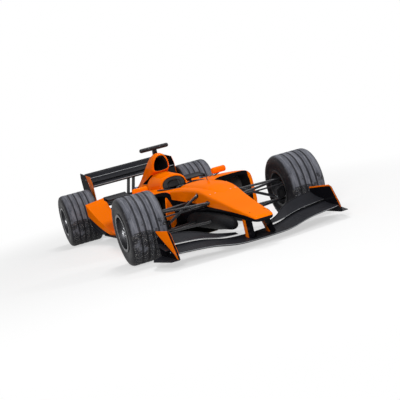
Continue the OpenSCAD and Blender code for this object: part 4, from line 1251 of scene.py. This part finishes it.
def make_fairings():
    """Orange ramps ahead of the rear tyres, with black slats below them."""
    rings, sides = [], []
    for i in range(25):
        f = i / 24
        y, z, x1 = ramp_line(f)
        low = max(POD_Z, z - 30 - 110 * f)
        rings.append([(x1, y, z + 4), (500, y, z + 4 + 30 * f), (500, y, z - 4 + 30 * f),
                      (x1, y, z - 8)])
        sides.append([(x1, y, z + 4), (x1 - 7, y, z + 4), (x1 - 7, y, low), (x1, y, low)])
    ramp = skin("ramp", rings, paint)
    cut(ramp, skin("ramp side", sides, paint), operation="UNION")
    cut(ramp, shell("pod gap", pod_rows, 0.5, 6, 64, paint))
    fixed(eased(both(ramp), 0, angle=35), "body_orange", "wheel_fairings")
    slats = []
    for step in range(4):
        rings = []
        for i in range(13):
            f = 0.42 + 0.52 * i / 12
            y, top, x1 = ramp_line(f)
            z = max(POD_Z + 3 + step, top - 30 - 110 * f + 14 - 52 * step)
            drop = max(POD_Z + 1, z - 44) if step < 3 else z - 2
            rings.append([(x1 - 4, y, z), (500, y, z + 10), (500, y, z + 6), (x1 - 10, y, z - 3),
                          (x1 - 12, y, drop), (x1 - 6, y, drop)])
        slats.append(skin("ramp slat", rings, carbon))
    fixed(eased(both(joined("ramp slats", slats)), 0, angle=35), "carbon_black")


def make_winglets():
    """Planes over the sidepods, each on a stay, with a fin at its outer end."""
    section_line = placed_foil(REAR_AXLE - 1080, 512, 220, 22, 14, 10)
    wing_part = across("winglets", section_line, 340, 610, carbon)
    stay = box("stay", (430, REAR_AXLE - 1060, 380), (438, REAR_AXLE - 900, 520), carbon)
    outline = [(REAR_AXLE - 1090, 482), (REAR_AXLE - 850, 512), (REAR_AXLE - 850, 548),
               (REAR_AXLE - 1090, 522)]
    end = across("end fin", outline, 604, 610, carbon)
    fixed(eased(both(joined("winglets", [wing_part, stay, end])), 1.0), "carbon_black", "winglets")


def make_mirrors():
    """Orange capsules on black stalks, with silvered glass to the rear."""
    at = (455 * MM, (FRONT_AXLE + 1100) * MM, 590 * MM)
    spin = Matrix.Translation(at) @ Matrix.Rotation(math.radians(8), 4, "Z")
    rings = []
    for i in range(25):
        a = math.pi * (i / 24 - 0.5)
        x = 62 * (1 if a > 0 else -1) * min(1, abs(a) * 40) + 24 * math.sin(a)
        r = max(24 * spow(math.cos(a), 0.7), 0.3)
        rings.append([(x, 1.3 * r * spow(c, 0.8), 1.4 * r * spow(s, 0.8))
                      for c, s in round_points(40)])
    case = skin("mirror cases", rings, paint)
    cut(case, box("glass face", (-200, 22, -60), (200, 80, 60), rough_black))
    def frame_of(y0, y1, half):
        return [(y0, -half), (y0, half), (y1, half), (y1, -half)]

    pane = across("mirror glass", frame_of(21.4, 22.8, 22), -66, 66, glass)
    rim = across("rim", frame_of(21.6, 25, 25), -70, 70, rough_black)
    cut(rim, across("rim way", frame_of(15, 30, 21), -65, 65, rough_black))
    whole = joined("mirror cases", [case, rim, pane])
    whole.data.transform(spin)
    fixed(eased(both(whole), 0), "body_orange", "mirrors")
    stalk = strut("mirror stalks", (455, FRONT_AXLE + 1106, 557), (244, FRONT_AXLE + 1158, 480),
                  30, 12, satin_black)
    brace = strut("brace", (440, FRONT_AXLE + 1118, 560), (330, FRONT_AXLE + 1190, 524),
                  10, 6, satin_black)
    fixed(shade(both(joined("mirror stalks", [stalk, brace])), PART_EDGE), "carbon_black")


def make_camera():
    """Bar with rounded ends and four grooves, on two stems behind a fairing."""
    y, z, half, r = FRONT_AXLE + 1790, 976, 152, 24
    cap = [(half + r * math.sin(a), r * math.cos(a)) for a in (0.3, 0.6, 0.9, 1.2, 1.4, 1.56)]
    bar = [(-x, r1) for x, r1 in cap[::-1]] + [(-half, r), (half, r)] + cap
    path, radii = [(x, y, z) for x, _ in bar], [r1 for _, r1 in bar]
    camera = along("camera bar", path, radii, satin_black, 32)
    groove = [(22.8, 0), (27, 0), (27, 3), (22.8, 3)]
    cut(camera, *[turned_about("groove", groove, (x, y, z), turns=32, finish=rough_black)
                  for x in (-138, -34, 31, 135)])
    lenses = [disc("camera lens", 7, (x, y - 19, z), (0, -1, 0), 6.5, screen, 20, 1.5)
              for x in (-62, 62)]
    stem = strut("stem", (18, y, z - 4), (23, y + 20, 850), 46, 16, satin_black)
    plate = strut("stem fairing", (0, y + 2, z - 16), (0, y + 20, 900), 30, 22, satin_black)
    whole = joined("camera bar", [camera, both(stem), plate, *lenses])
    fixed(shade(whole, PART_EDGE), "satin_black", "camera_pod")


def make_antenna():
    y, z = FRONT_AXLE + 165, 552
    foot = along("antenna", [(0, y, z - 14), (0, y, z + 4), (0, y, z + 18), (0, y + 1, z + 24)],
                 [16, 14, 10, 8], paint, 24)
    rod = along("rod", [(0, y + 26 * t, z + 78 * t) for t in (0.1, 0.5, 0.96, 1)],
                [4, 4, 4, 2.6], satin_black, 16)
    fixed(shade(joined("antenna", [foot, rod]), PART_EDGE), "satin_black", "radio_antenna")


# ---- cockpit ----

def puffed(pad, voxel, cap, seconds=20):
    """Foam swelled under its cover by cloth pressure, with each point's move capped."""
    remesh = pad.modifiers.new("even mesh", "REMESH")
    remesh.mode, remesh.voxel_size = "VOXEL", voxel * MM
    bake(pad)
    before = [v.co.copy() for v in pad.data.vertices]
    cloth = pad.modifiers.new("cover", "CLOTH")
    cloth.settings.use_pressure = True
    cloth.settings.uniform_pressure_force = 4
    cloth.settings.effector_weights.gravity = 0
    for moment in range(1, seconds + 1):
        bpy.context.scene.frame_set(moment)
    bake(pad)
    bpy.context.scene.frame_set(1)
    for v, start in zip(pad.data.vertices, before):
        move = v.co - start
        if move.length > cap * MM:
            v.co = start + move.normalized() * cap * MM
    soften = pad.modifiers.new("soften", "SMOOTH")
    soften.factor, soften.iterations = 0.5, 6
    bake(pad)
    finer = pad.modifiers.new("finer", "SUBSURF")
    finer.levels = finer.render_levels = 1
    return pad


def make_headrest():
    y0 = FRONT_AXLE + 1345
    pad = shell("headrest pad", hoop_rows, -26, 4, 56, foam)
    cut(pad, box("pad limit", (-220, y0 - 30, PARTING_Z + 9), (220, y0 + 120, 650), foam),
        operation="INTERSECT")
    hole = [(y0 - 100, 0, 84, 540, 608, 440, 2.4, 3), (y0 + 62, 0, 76, 540, 598, 440, 2.4, 3)]
    cut(pad, shell("head room", hole, 0, 1, 48, foam))
    puffed(pad, 5, 6)
    pad.data.materials.clear()
    pad.data.materials.append(foam)
    shade(pad, 60)
    fixed(pad, "pad_black", "headrest")


def make_seat():
    """Moulded bucket that follows the driver's back and thighs."""
    y0 = FRONT_AXLE + 900
    spine = smooth([(y0 + 20, 196), (y0 + 180, 160), (y0 + 380, 128), (y0 + 520, 150),
                    (y0 + 640, 280), (y0 + 740, 480)], 6)
    outer, inner = [], []
    for i, (y, z) in enumerate(spine):
        share = i / (len(spine) - 1)
        half, wall = 168 + 12 * math.sin(math.pi * share), 90 - 40 * share
        for ring, thick in ((outer, 0), (inner, 14)):
            points = []
            for k in range(25):
                t = (k / 24 - 0.5) * 2
                lift = wall * abs(t) ** 3.2
                back = -0.6 * lift if share > 0.55 else 0
                points.append(((half - thick) * t, y + back - (thick if share > 0.5 else 0),
                               z + lift * (0.5 if share > 0.55 else 1) + thick))
            ring.append(points)
    rings = [a + b[::-1] for a, b in zip(outer, inner)]
    seat = skin("seat shell", rings, seat_cloth)
    fixed(eased(seat, 2.0), "pad_black", "seat")
    straps = []
    for x0, x1 in ((60, 95), (-60, -95)):
        path = [(x0, y0 + 380, 168), (x0 * 1.05, y0 + 500, 190), (x0 * 1.1, y0 + 600, 300),
                (x1, y0 + 690, 470)]
        straps.append(ribbon("strap", path, 48, 2.5, strap_cloth))
    for side in (-1, 1):
        path = [(side * 18, y0 + 372, 178), (side * 90, y0 + 400, 184), (side * 150, y0 + 430, 215)]
        straps.append(ribbon("lap strap", path, 44, 2.5, strap_cloth, flat=(0, 1, 0)))
    fixed(shade(joined("harness straps", straps), PART_EDGE), "pad_black")
    buckle = disc("harness buckle", 26, (0, y0 + 376, 170), (0, -0.2, 1), 16, bright_steel, 40, 3)
    fixed(shade(buckle, 35), "bare_metal")


def ribbon(name, path, width, thick, finish, flat=(1, 0, 0), steps=6):
    """Flat strap along a smooth path, its width along flat."""
    flat = Vector(flat)
    rings = []
    for p, way in ways([Vector(p) for p in smooth(path, steps)]):
        side = (flat - way * flat.dot(way)).normalized() * (width / 2)
        up = way.cross(side).normalized() * (thick / 2)
        rings.append([tuple(p + side + up), tuple(p - side + up), tuple(p - side - up),
                      tuple(p + side - up)])
    return skin(name, rings, finish)


def make_steering_wheel():
    """Two grips round a switch plate, turned to face the driver."""
    parts = []
    for side in (-1, 1):
        path = [(side * 122 * math.cos(a), 122 * math.sin(a) * 0.72, 3 * math.cos(2 * a))
                for a in [math.radians(v) for v in range(-52, 53, 8)]]
        swell = [13.5 + 1.6 * math.cos(i * 1.5) for i in range(len(path))]
        parts.append(along("grip", path, swell, suede, 18))
    for side in (-1, 1):
        bar = [(x, side * 72, 0) for x in (-92, -60, 0, 60, 92)]
        parts.append(along("rim bar", bar, [9, 10, 10, 10, 9], satin_black, 14))
    face = [(-88, -40), (-70, -64), (70, -64), (88, -40), (88, 46), (64, 70), (-64, 70), (-88, 46)]
    parts += [slab("switch plate", face, -11, 9, carbon),
              disc("boss", 28, (0, 0, 8), (0, 0, 1), 32, satin_black, 40, 3),
              slab("display", [(-34, 16), (34, 16), (34, 46), (-34, 46)], -13, -10, screen)]

    def control(name, radius, x, y, height, *looks):
        parts.append(disc(name, radius, (x, y, -10), (0, 0, -1), height, *looks))

    for colour, x, y in (("red", -64, 44), ("yellow", 64, 44), ("green", -64, 10), ("blue", 64, 10),
                         ("red", 58, -30), ("yellow", -58, -30), ("green", 30, -48),
                         ("blue", -30, -48)):
        control("cap", 7, x, y, 6, button_colours[colour], 24, 1.5)
        control("collar", 9.5, x, y, 2.5, bright_steel, 24, 0.6)
    for x in (-22, 0, 22):
        control("knob", 9, x, -12, 12, rough_black, 12, 2)
    for i in range(9):
        colour = ("green", "red", "blue")[i // 3]
        control("shift lamp", 2.6, -32 + 8 * i, 55, 3, button_colours[colour], 12, 0.8)
    for side in (-1, 1):
        outline = [(side * 54, -14), (side * 104, -4), (side * 106, 22), (side * 54, 22)]
        parts.append(slab("paddle", outline, 14, 18, carbon))
    whole = joined("steering wheel", parts)
    whole.data.transform(Matrix.Translation(WHEEL_CENTRE * MM)
                         @ Matrix.Rotation(math.radians(90 + WHEEL_TILT), 4, "X"))
    place_piece(eased(whole, 0.8), "steering_wheel", "satin_black", "steering_wheel")


def make_cockpit_trim():
    """Padded edge round the cockpit mouth and a small carbon deflector ahead of it."""
    spots = []
    for y, _, half, widest, top, _, top_power, _ in smooth(cockpit_rows, 6):
        rise = (526 - widest) / (top - widest)
        share = max(0.0, 1 - abs(rise) ** top_power) ** (1 / top_power)
        if FRONT_AXLE + 700 < y < FRONT_AXLE + 1325:
            spots.append((half * share + 2, y, 530 + 6 * math.sin((y + 650) / 200)))
    lip = along("cockpit edge", spots, 7, rough_black, 12)
    fixed(shade(both(lip), PART_EDGE), "pad_black")
    rings = []
    for i in range(13):
        t = (i / 12 - 0.5) * 2
        x, y, low = 118 * t, FRONT_AXLE + 676 + 66 * t * t - 26, 552 - 26 * t * t
        high = low + 30 - 14 * t * t
        rings.append([(x, y, low), (x, y + 10, high), (x, y + 12, high), (x, y + 2.5, low)])
    fixed(shade(skin("wind deflector", rings, carbon), PART_EDGE), "carbon_black")


# ---- suspension ----

def eye_ring(spot, radius=16, bore=7.6, half=11):
    """Upright ring of steel round a kingpin's end."""
    profile = [(bore, -half), (radius - 2, -half), (radius, 2 - half), (radius, half - 2),
               (radius - 2, half), (bore, half)]
    return turned_about("eye", profile, spot, (0, 0, 1), 32, bright_steel)


def wishbone_parts(outer, front, rear):
    """Two legs from the body to a ring at the upright."""
    outer = Vector(outer)
    parts = [eye_ring(tuple(outer))]
    for inner in (front, rear):
        inner = Vector(inner)
        start = outer + (inner - outer).normalized() * 14
        parts.append(strut("leg", start, inner, 40, 24, satin_black, 28,
                           [(0, 0.45), (0.05, 0.8), (0.12, 1), (0.95, 1), (1, 1.1)]))
    return parts


def bracket(spot, way, finish, width=46):
    """Clevis plate and bolt where an arm meets the body."""
    p, w = Vector(spot), Vector(way).normalized()
    plate = disc("bracket", width / 2, p - w * 6, w, 12, finish, 6, 1.5)
    nut = disc("bracket nut", 8, p + w * 6, w, 7, bright_steel, 6, 1)
    return [plate, nut]


def make_front_suspension():
    up, low = Vector((KINGPIN_X, FRONT_AXLE, PIN_UP)), Vector((KINGPIN_X, FRONT_AXLE, PIN_LOW))
    parts = wishbone_parts(up, (150, FRONT_AXLE - 205, 395), (170, FRONT_AXLE + 330, 400))
    parts += wishbone_parts(low, (110, FRONT_AXLE - 240, 222), (140, FRONT_AXLE + 300, 205))
    parts.append(strut("pushrod", low + Vector((-75, 10, 18)), (165, FRONT_AXLE + 80, 470), 34, 27,
                       satin_black, 28,
                       [(0, 0.5), (0.03, 0.7), (0.08, 1), (0.92, 1), (0.97, 0.7), (1, 0.6)]))
    parts.append(strut("collar", low + Vector((-92, 12, 28)), low + Vector((-120, 15, 45)), 30, 22,
                       bright_steel))
    fixed(shade(both(joined("front arms", parts)), PART_EDGE), "satin_black", "front_wishbones")
    fittings = []
    for spot, way in (((176, FRONT_AXLE - 190, 396), (1, -0.2, 0.1)),
                      ((206, FRONT_AXLE + 305, 401), (1, 0.2, 0)),
                      ((186, FRONT_AXLE + 82, 458), (1, 0, 0.5)),
                      ((186, FRONT_AXLE + 40, 470), (1, 0, 0.4))):
        fittings += bracket(spot, way, satin_black)
    fixed(eased(both(joined("arm brackets", fittings)), 0.8), "satin_black")


def make_rear_suspension():
    up, low = Vector((REAR_PIN_X, REAR_AXLE, PIN_UP)), Vector((REAR_PIN_X, REAR_AXLE, PIN_LOW))
    parts = wishbone_parts(up, (60, REAR_AXLE - 330, 385), (60, REAR_AXLE + 60, 350))
    parts += wishbone_parts(low, (60, REAR_AXLE - 330, 205), (60, REAR_AXLE + 60, 215))
    parts.append(strut("pushrod", low + Vector((-60, -40, 14)), (120, REAR_AXLE - 250, 430), 30, 24,
                       satin_black, 28, [(0, 0.6), (0.06, 1), (0.94, 1), (1, 0.6)]))
    fixed(shade(both(joined("rear arms", parts)), PART_EDGE), "satin_black", "rear_wishbones")


def make_uprights():
    """Brake drums and calipers at the four hubs, and scoops at the front ones."""
    drum = brake_drum(FRONT_HUB_X, FRONT_AXLE, 52)
    scoop_rings = []
    for x, y, z, w, h in (
            (592, -150, 296, 34, 44), (592, -120, 296, 34, 44), (606, -86, 298, 32, 42),
            (640, -62, 306, 28, 38), (690, -56, 310, 22, 34), (742, -56, 312, 20, 32)):
        y += FRONT_AXLE
        ring = []
        for c, s in round_points(24):
            u, v = w * spow(c, 0.5), h * spow(s, 0.5)
            if x < 610:
                ring.append((x + u, y + (0 if x < 600 else u * 0.5), z + v))
            elif x < 650:
                ring.append((x + u * 0.7, y + u * 0.8, z + v))
            else:
                ring.append((x, y + u, z + v))
        scoop_rings.append(ring)
    scoop = skin("brake scoop", scoop_rings, matt_carbon_darkened_as_shade)
    mouth_rows = [(FRONT_AXLE + y, 592, 28, 296, 334, 258, 4, 4) for y in (-170, -112)]
    mouth = shell("scoop mouth", mouth_rows, 0, 1, 24, cockpit_black)
    cut(scoop, mouth)
    caliper = caliper_body(FRONT_HUB_X + 22, FRONT_AXLE)
    left = joined("front brake fittings left", [drum, scoop, caliper])
    right = flipped(left, "front brake fittings right")
    place_piece(eased(left, 1.0), "front_upright_left", "carbon_black")
    place_piece(eased(right, 1.0), "front_upright_right", "carbon_black")
    drum = brake_drum(REAR_HUB_X, REAR_AXLE, 56)
    caliper = caliper_body(REAR_HUB_X + 22, REAR_AXLE)
    fixed(eased(both(joined("rear brake fittings", [drum, caliper])), 1.0), "carbon_black")


def brake_drum(x, y, bore):
    """Flat drum round a hub, its inner face at x."""
    profile = [(bore, 0), (142, 0), (144, 2), (144, 6), (60, 8), (bore, 8)]
    return turned_about("brake drum", profile, (x, y, AXLE_Z), turns=72, finish=matt_carbon_darkened_as_shade)


def caliper_body(x, y):
    """Curved caliper at the back of the disc, with three pots."""
    rings = []
    for k in range(13):
        a = math.radians(-32 + 64 * k / 12)
        rings.append([(x + h, y + r * math.cos(a), AXLE_Z + r * math.sin(a))
                      for r, h in ((88, -8), (150, -8), (152, -4), (152, 4), (88, 4))])
    body = skin("caliper", rings, caliper_red)
    pots = [disc("pot", 13, (x - 8, y + 118 * math.cos(a), AXLE_Z + 118 * math.sin(a)),
                 (-1, 0, 0), 7, bright_steel, 20, 1.5) for a in (-0.36, 0.0, 0.36)]
    return joined("caliper", [body, *pots])


# ---- wheels ----

def tyre_outline(width):
    """[radius, distance inboard] of a tyre with four grooves and moulded side rings."""
    bead, r = RIM_R + 0.2, TYRE_R
    side = [(bead, 17), (bead + 6, 12.5), (bead + 18, 10), (bead + 24, 8.2), (bead + 26, 6.4),
            (bead + 29, 6.2), (bead + 31, 7.2), (bead + 50, 4.2), (bead + 70, 2), (r - 84, 0.6),
            (r - 70, 0), (r - 56, 0.4), (r - 54, 1.6), (r - 52, 1.8), (r - 40, 2.6), (r - 22, 8),
            (r - 12, 15), (r - 6, 24), (r - 2, 33), (r, 44)]
    groove = [(r, 10.4), (r - 0.8, 9.4), (r - 5.4, 8.4), (r - 6, 7.4)]
    ribs = []
    for i in (-1.5, -0.5, 0.5, 1.5):
        c = width / 2 + i * (width / 6.2)
        ribs += [(a, c - b) for a, b in groove] + [(a, c + b) for a, b in groove[::-1]]
    far = [(a, width - b) for a, b in side[::-1]]
    well = [(bead, width - 60), (bead + 14, width - 70), (bead + 14, 70), (bead, 60)]
    return side + ribs + far + well


def wheel_lathe(name, outline, face, y, turns, finish):
    """Lathe of [radius, distance inboard from the outer face] round a wheel's axle."""
    made = turned_about(name, [(r, -d) for r, d in outline], (0, 0, 0), (1, 0, 0), turns, finish)
    made.data.transform(Matrix.Translation((face * MM, y * MM, AXLE_Z * MM)))
    return made


def wheel_pieces(where, track, y, width):
    """Tyre and rim of both wheels of an axle."""
    face = track + width / 2
    tyres = tyre_outline(width)
    for side, hand in ((1, "left"), (-1, "right")):
        name, body = f"{where}_{hand}", f"{where}_wheel_{hand}"
        centre = (track * side, y, AXLE_Z)
        rubber = tyre_rubber(f"tyre rubber {name}", centre, width)
        tyre = wheel_lathe(f"tyre {name}", tyres, face, y, 144, rubber)
        rim = make_rim(f"rim {name}", face, y, width, centre, where == "rear")
        if side < 0:
            tyre, rim = mirrored(tyre), mirrored(rim)
        place_piece(shade(tyre, 28), body, "tyre_rubber", f"tyre_{name}")
        place_piece(eased(rim, 0.7, 1, 35), body, "rim_metal", f"rim_{name}")


def mirrored(part):
    """The part itself, moved to the other side of the car."""
    name = part.name
    made = flipped(part, name + " copy")
    bpy.data.objects.remove(part)
    made.name = name
    return made


def make_rim(name, face, y, width, centre, rear):
    """Barrel, spokes and nut with the brake disc inside, and the rear wheel's half-shaft."""
    lip, barrel = RIM_R + 16, RIM_R - RIM_WALL
    flange = [(barrel, 4), (barrel + 3, 0), (lip - 2, 0), (lip, 2), (lip, 7), (lip - 2, 9),
              (RIM_R + 2, 14), (RIM_R, 17), (RIM_R, 58), (RIM_R - 4, 64)]
    well = [(barrel, width - 58), (barrel - 4, width - 64), (barrel - 4, 64), (barrel, 56),
            (barrel, 20)]
    outline = flange + [(r, width - d) for r, d in flange[::-1]] + well
    turned_finish = TURNED[(centre[0] > 0, rear)]
    parts = []

    def lathe(name, outline, turns, finish, at=face):
        parts.append(wheel_lathe(name, outline, at, y, turns, finish))

    def round_the_axle(part, count, finish, at=face, start=0.0):
        parts.append(round_axle(part, (at, y, AXLE_Z), count, finish, start))

    lathe("barrel", outline, 96, dark_alloy)
    lathe("machined lip", [(barrel + 2, -0.3), (lip - 3, -0.3), (lip - 3, 0.3), (barrel + 2, 0.3)],
          96, turned_finish, face - 0.4)
    spoke_rings = []
    for share, r in enumerate((38, 60, 90, 120, 146, barrel + 2)):
        t = share / 5
        half, depth = 15 - 5 * math.sin(math.pi * t) + 8 * t ** 4, 15 - 4 * t
        out = -48 - 16 * math.sin(math.pi * t * 0.5)
        spoke_rings.append([(out + depth * a, half * b, r)
                            for a, b in ((0.5, -0.55), (0.5, 0.55), (0, 1), (-1, 0.8), (-1, -0.8),
                                         (0, -1))])
    round_the_axle(skin("spoke", spoke_rings, magnesium), 10, magnesium)
    hub = [(0.2, 30), (30, 30), (34, 32), (36, 40), (50, 42), (54, 46), (56, 60), (52, 78),
           (48, 84), (0.2, 84)]
    nut = [(16, 14), (24, 14), (27, 17), (28, 30), (38, 34), (39, 40), (16, 40), (15, 36), (15, 18)]
    dish = [(0.2, 20), (12, 20), (14, 22), (15.5, 36), (0.2, 38)]
    lathe("wheel centre", hub, 64, magnesium)
    lathe("wheel nut", nut, 12, bright_steel)
    lathe("nut centre", dish, 32, bright_steel)
    lathe("centre ring", [(56, 44), (74, 50), (74, 56), (56, 58)], 64, turned_finish)
    peg = disc("drive peg", 6, (-52, 0, 66), (1, 0, 0), 14, bright_steel, 16, 1.5)
    round_the_axle(peg, 5, bright_steel, start=0.31)
    x_disc = (REAR_HUB_X if rear else FRONT_HUB_X) + 20
    rotor = [(96, 0), (137, 0), (138, 1), (138, 12), (133, 12), (133, 16), (138, 16), (138, 27),
             (137, 28), (96, 28)]
    bell = [(44, -8), (60, -8), (94, 4), (97, 4), (97, 24), (93, 24), (58, 6), (44, 6)]
    disc_face = x_disc + 28
    lathe("brake disc", rotor, 96, brake_carbon, disc_face)
    lathe("disc bell", bell, 48, dark_alloy, disc_face)
    # Dark dots round the disc's rim: painted shade standing in for vent holes, which are not cut.
    vent = disc("vent", 3.2, (-6, 0, 137.2), (0, 0, 1), 1.6, cockpit_black, 8)
    round_the_axle(vent, 48, cockpit_black, disc_face)
    bobbin = disc("bobbin", 5, (-31, 0, 103), (1, 0, 0), 34, bright_steel, 12, 1)
    round_the_axle(bobbin, 12, bright_steel, disc_face)
    hub_in = x_disc - 2
    reach = face - 62 - hub_in
    parts.append(turned_about("hub tube", [(31, 0), (44, 0), (46, 2), (46, reach), (31, reach)],
                              (hub_in, y, AXLE_Z), (1, 0, 0), 48, dark_alloy))
    if rear:
        x = REAR_PIN_X
        shaft = [(0.2, 86), (19, 86), (19, 120), (30, 124), (38.5, 132), (38.5, 176), (28, 184),
                 (20, 192), (17, 210), (17, x - 90), (20, x - 76), (28, x - 66), (38.5, x - 56),
                 (38.5, x - 12), (29.5, x - 8), (29.5, x + 82), (0.2, x + 82)]
        parts.append(turned_about("half shaft", shaft, (0, y, AXLE_Z), (1, 0, 0), 40, dark_alloy))
    return joined(name, parts)


TURNED = {(side > 0, end == "rear"): machined(f"turned lip {hand} {end}", (track * side, y, AXLE_Z))
          for side, hand in ((1, "left"), (-1, "right"))
          for end, track, y in (("front", FRONT_TRACK, FRONT_AXLE),
                                ("rear", REAR_TRACK, REAR_AXLE))}


# ---- running gear behind the driver ----

def make_exhausts():
    profile = [(31, 8), (31, 134), (32.5, 136), (34, 134), (34, 4), (30, 0), (0.2, 0), (0.2, 8)]
    pipe = turned_about("exhaust pipes", profile, EXHAUST_AT, EXHAUST_WAY, 56, pipe_metal)
    bead = turned_about("bead", [(33.5, 120), (35.2, 122), (35.2, 126), (33.5, 128)],
                        EXHAUST_AT, EXHAUST_WAY, 56, pipe_metal)
    fixed(shade(both(joined("exhaust pipes", [pipe, bead])), 35), "bare_metal", "exhausts")


def make_rear_end():
    """Ribs, covers and bolts on the gearbox, and the lamp on the crash structure."""
    parts = []
    for i in range(5):
        y = 1240 + i * 150
        t = (y - 1055) / 990
        half, top, bottom = 96 - 34 * t, 385 - 20 * t, 130 + 132 * t
        low, high = bottom - 3, top + 3
        parts.append(across("rib", [(y, low), (y + 7, low), (y + 7, high), (y, high)],
                            -half - 4, half + 4, cast_alloy))
    for side in (-1, 1):
        parts.append(disc("side cover", 58, (side * 66, REAR_AXLE, AXLE_Z), (side, 0, 0), 34,
                          cast_alloy, 48, 3))
    fixed(eased(joined("gearbox ribs", parts), 1.5), "engine_metal")
    spots = []
    for side in (-1, 1):
        spots += [((side * 100.5, REAR_AXLE + 50 * c, AXLE_Z + 50 * s), (side, 0, 0))
                  for c, s in round_points(10)]
    fixed(fasteners("gearbox bolts", spots, bright_steel, 5, 6, 6), "bare_metal")
    lamp = box("rear lamp", (-29, TAIL_Y - 8, 298), (29, TAIL_Y - 4.5, 332), lamp_red)
    bezel = box("bezel", (-33, TAIL_Y - 12, 294), (33, TAIL_Y - 6.5, 336), rough_black)
    fixed(eased(joined("rear lamp", [lamp, bezel]), 1.5), "satin_black")


def panel_spots():
    """Quarter-turn heads along the body seams."""
    y = TUB_FRONT - 14
    spots = [((x, y, surface_height(nose_rows, x, y)), (0, -0.12, 1))
             for x in (-130, -80, 0, 80, 130)]
    for side in (-1, 1):
        for y in range(-420, 1300, 190):
            row = row_at(pod_rows, y)
            x = row[1] + row[2] * 0.999
            spots.append(((side * x, y, row[3] - 60), (side, 0, 0)))
    return spots


def row_at(rows, y):
    """The row part way between two others."""
    for a, b in zip(rows, rows[1:]):
        if a[0] <= y <= b[0]:
            t = (y - a[0]) / (b[0] - a[0])
            return [p + (q - p) * t for p, q in zip(a, b)]
    return list(rows[-1])


def surface_height(rows, x, y):
    """Top of a shell over x and y."""
    row = row_at(smooth(rows, 8), y)
    share = min(0.999, abs(x - row[1]) / row[2])
    return row[3] + (row[4] - row[3]) * (1 - share ** row[6]) ** (1 / row[6])


def make_fasteners():
    fixed(fasteners("panel fasteners", panel_spots(), bright_steel, 7, 2.2, 16), "bare_metal")
    front = ((WING_Y + 130, 120), (WING_Y + 300, 128), (WING_Y + 420, 190), (WING_Y + 600, 255))
    rear = ((TAIL_Y - 600, 668), (TAIL_Y - 480, 690), (TAIL_Y - 440, 714), (TAIL_Y - 330, 760),
            (TAIL_Y - 240, 400), (TAIL_Y - 120, 425))
    plate = [((side * (span / 2 + 0.2), y, z), (side, 0, 0))
             for span, spots in ((FRONT_SPAN, front), (REAR_SPAN, rear))
             for y, z in spots for side in (-1, 1)]
    fixed(fasteners("wing plate bolts", plate, bright_steel, 7, 2.4, 16), "bare_metal")


def finish_solids():
    """Finishes for the solids that show as they are."""
    for node, finish in (("floor", matt_carbon_darkened_as_shade), ("plank", board_wood), ("diffuser", matt_carbon_darkened_as_shade),
                         ("engine_block", cast_alloy), ("gearbox_casing", cast_alloy),
                         ("rear_crash_structure", carbon), ("steering_column", dark_alloy),
                         ("rack_housing", dark_alloy), ("track_rods", satin_black),
                         ("radiators", core_metal), ("rear_uprights", cast_alloy),
                         ("front_upright_left", cast_alloy), ("front_upright_right", cast_alloy)):
        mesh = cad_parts[node].data
        mesh.materials.clear()
        mesh.materials.append(finish)


for make in (make_tub, make_nose, make_cover, make_intake_lining, make_sidepods, make_keels,
             make_front_wing, make_front_plates, make_pylons, make_rear_wing, make_barge_boards,
             make_fairings, make_winglets, make_mirrors, make_camera, make_antenna, make_headrest,
             make_seat, make_steering_wheel, make_cockpit_trim, make_front_suspension,
             make_rear_suspension, make_uprights):
    make()
wheel_pieces("front", FRONT_TRACK, FRONT_AXLE, FRONT_TYRE_W)
wheel_pieces("rear", REAR_TRACK, REAR_AXLE, REAR_TYRE_W)
for make in (make_exhausts, make_rear_end, make_fasteners, finish_solids):
    make()
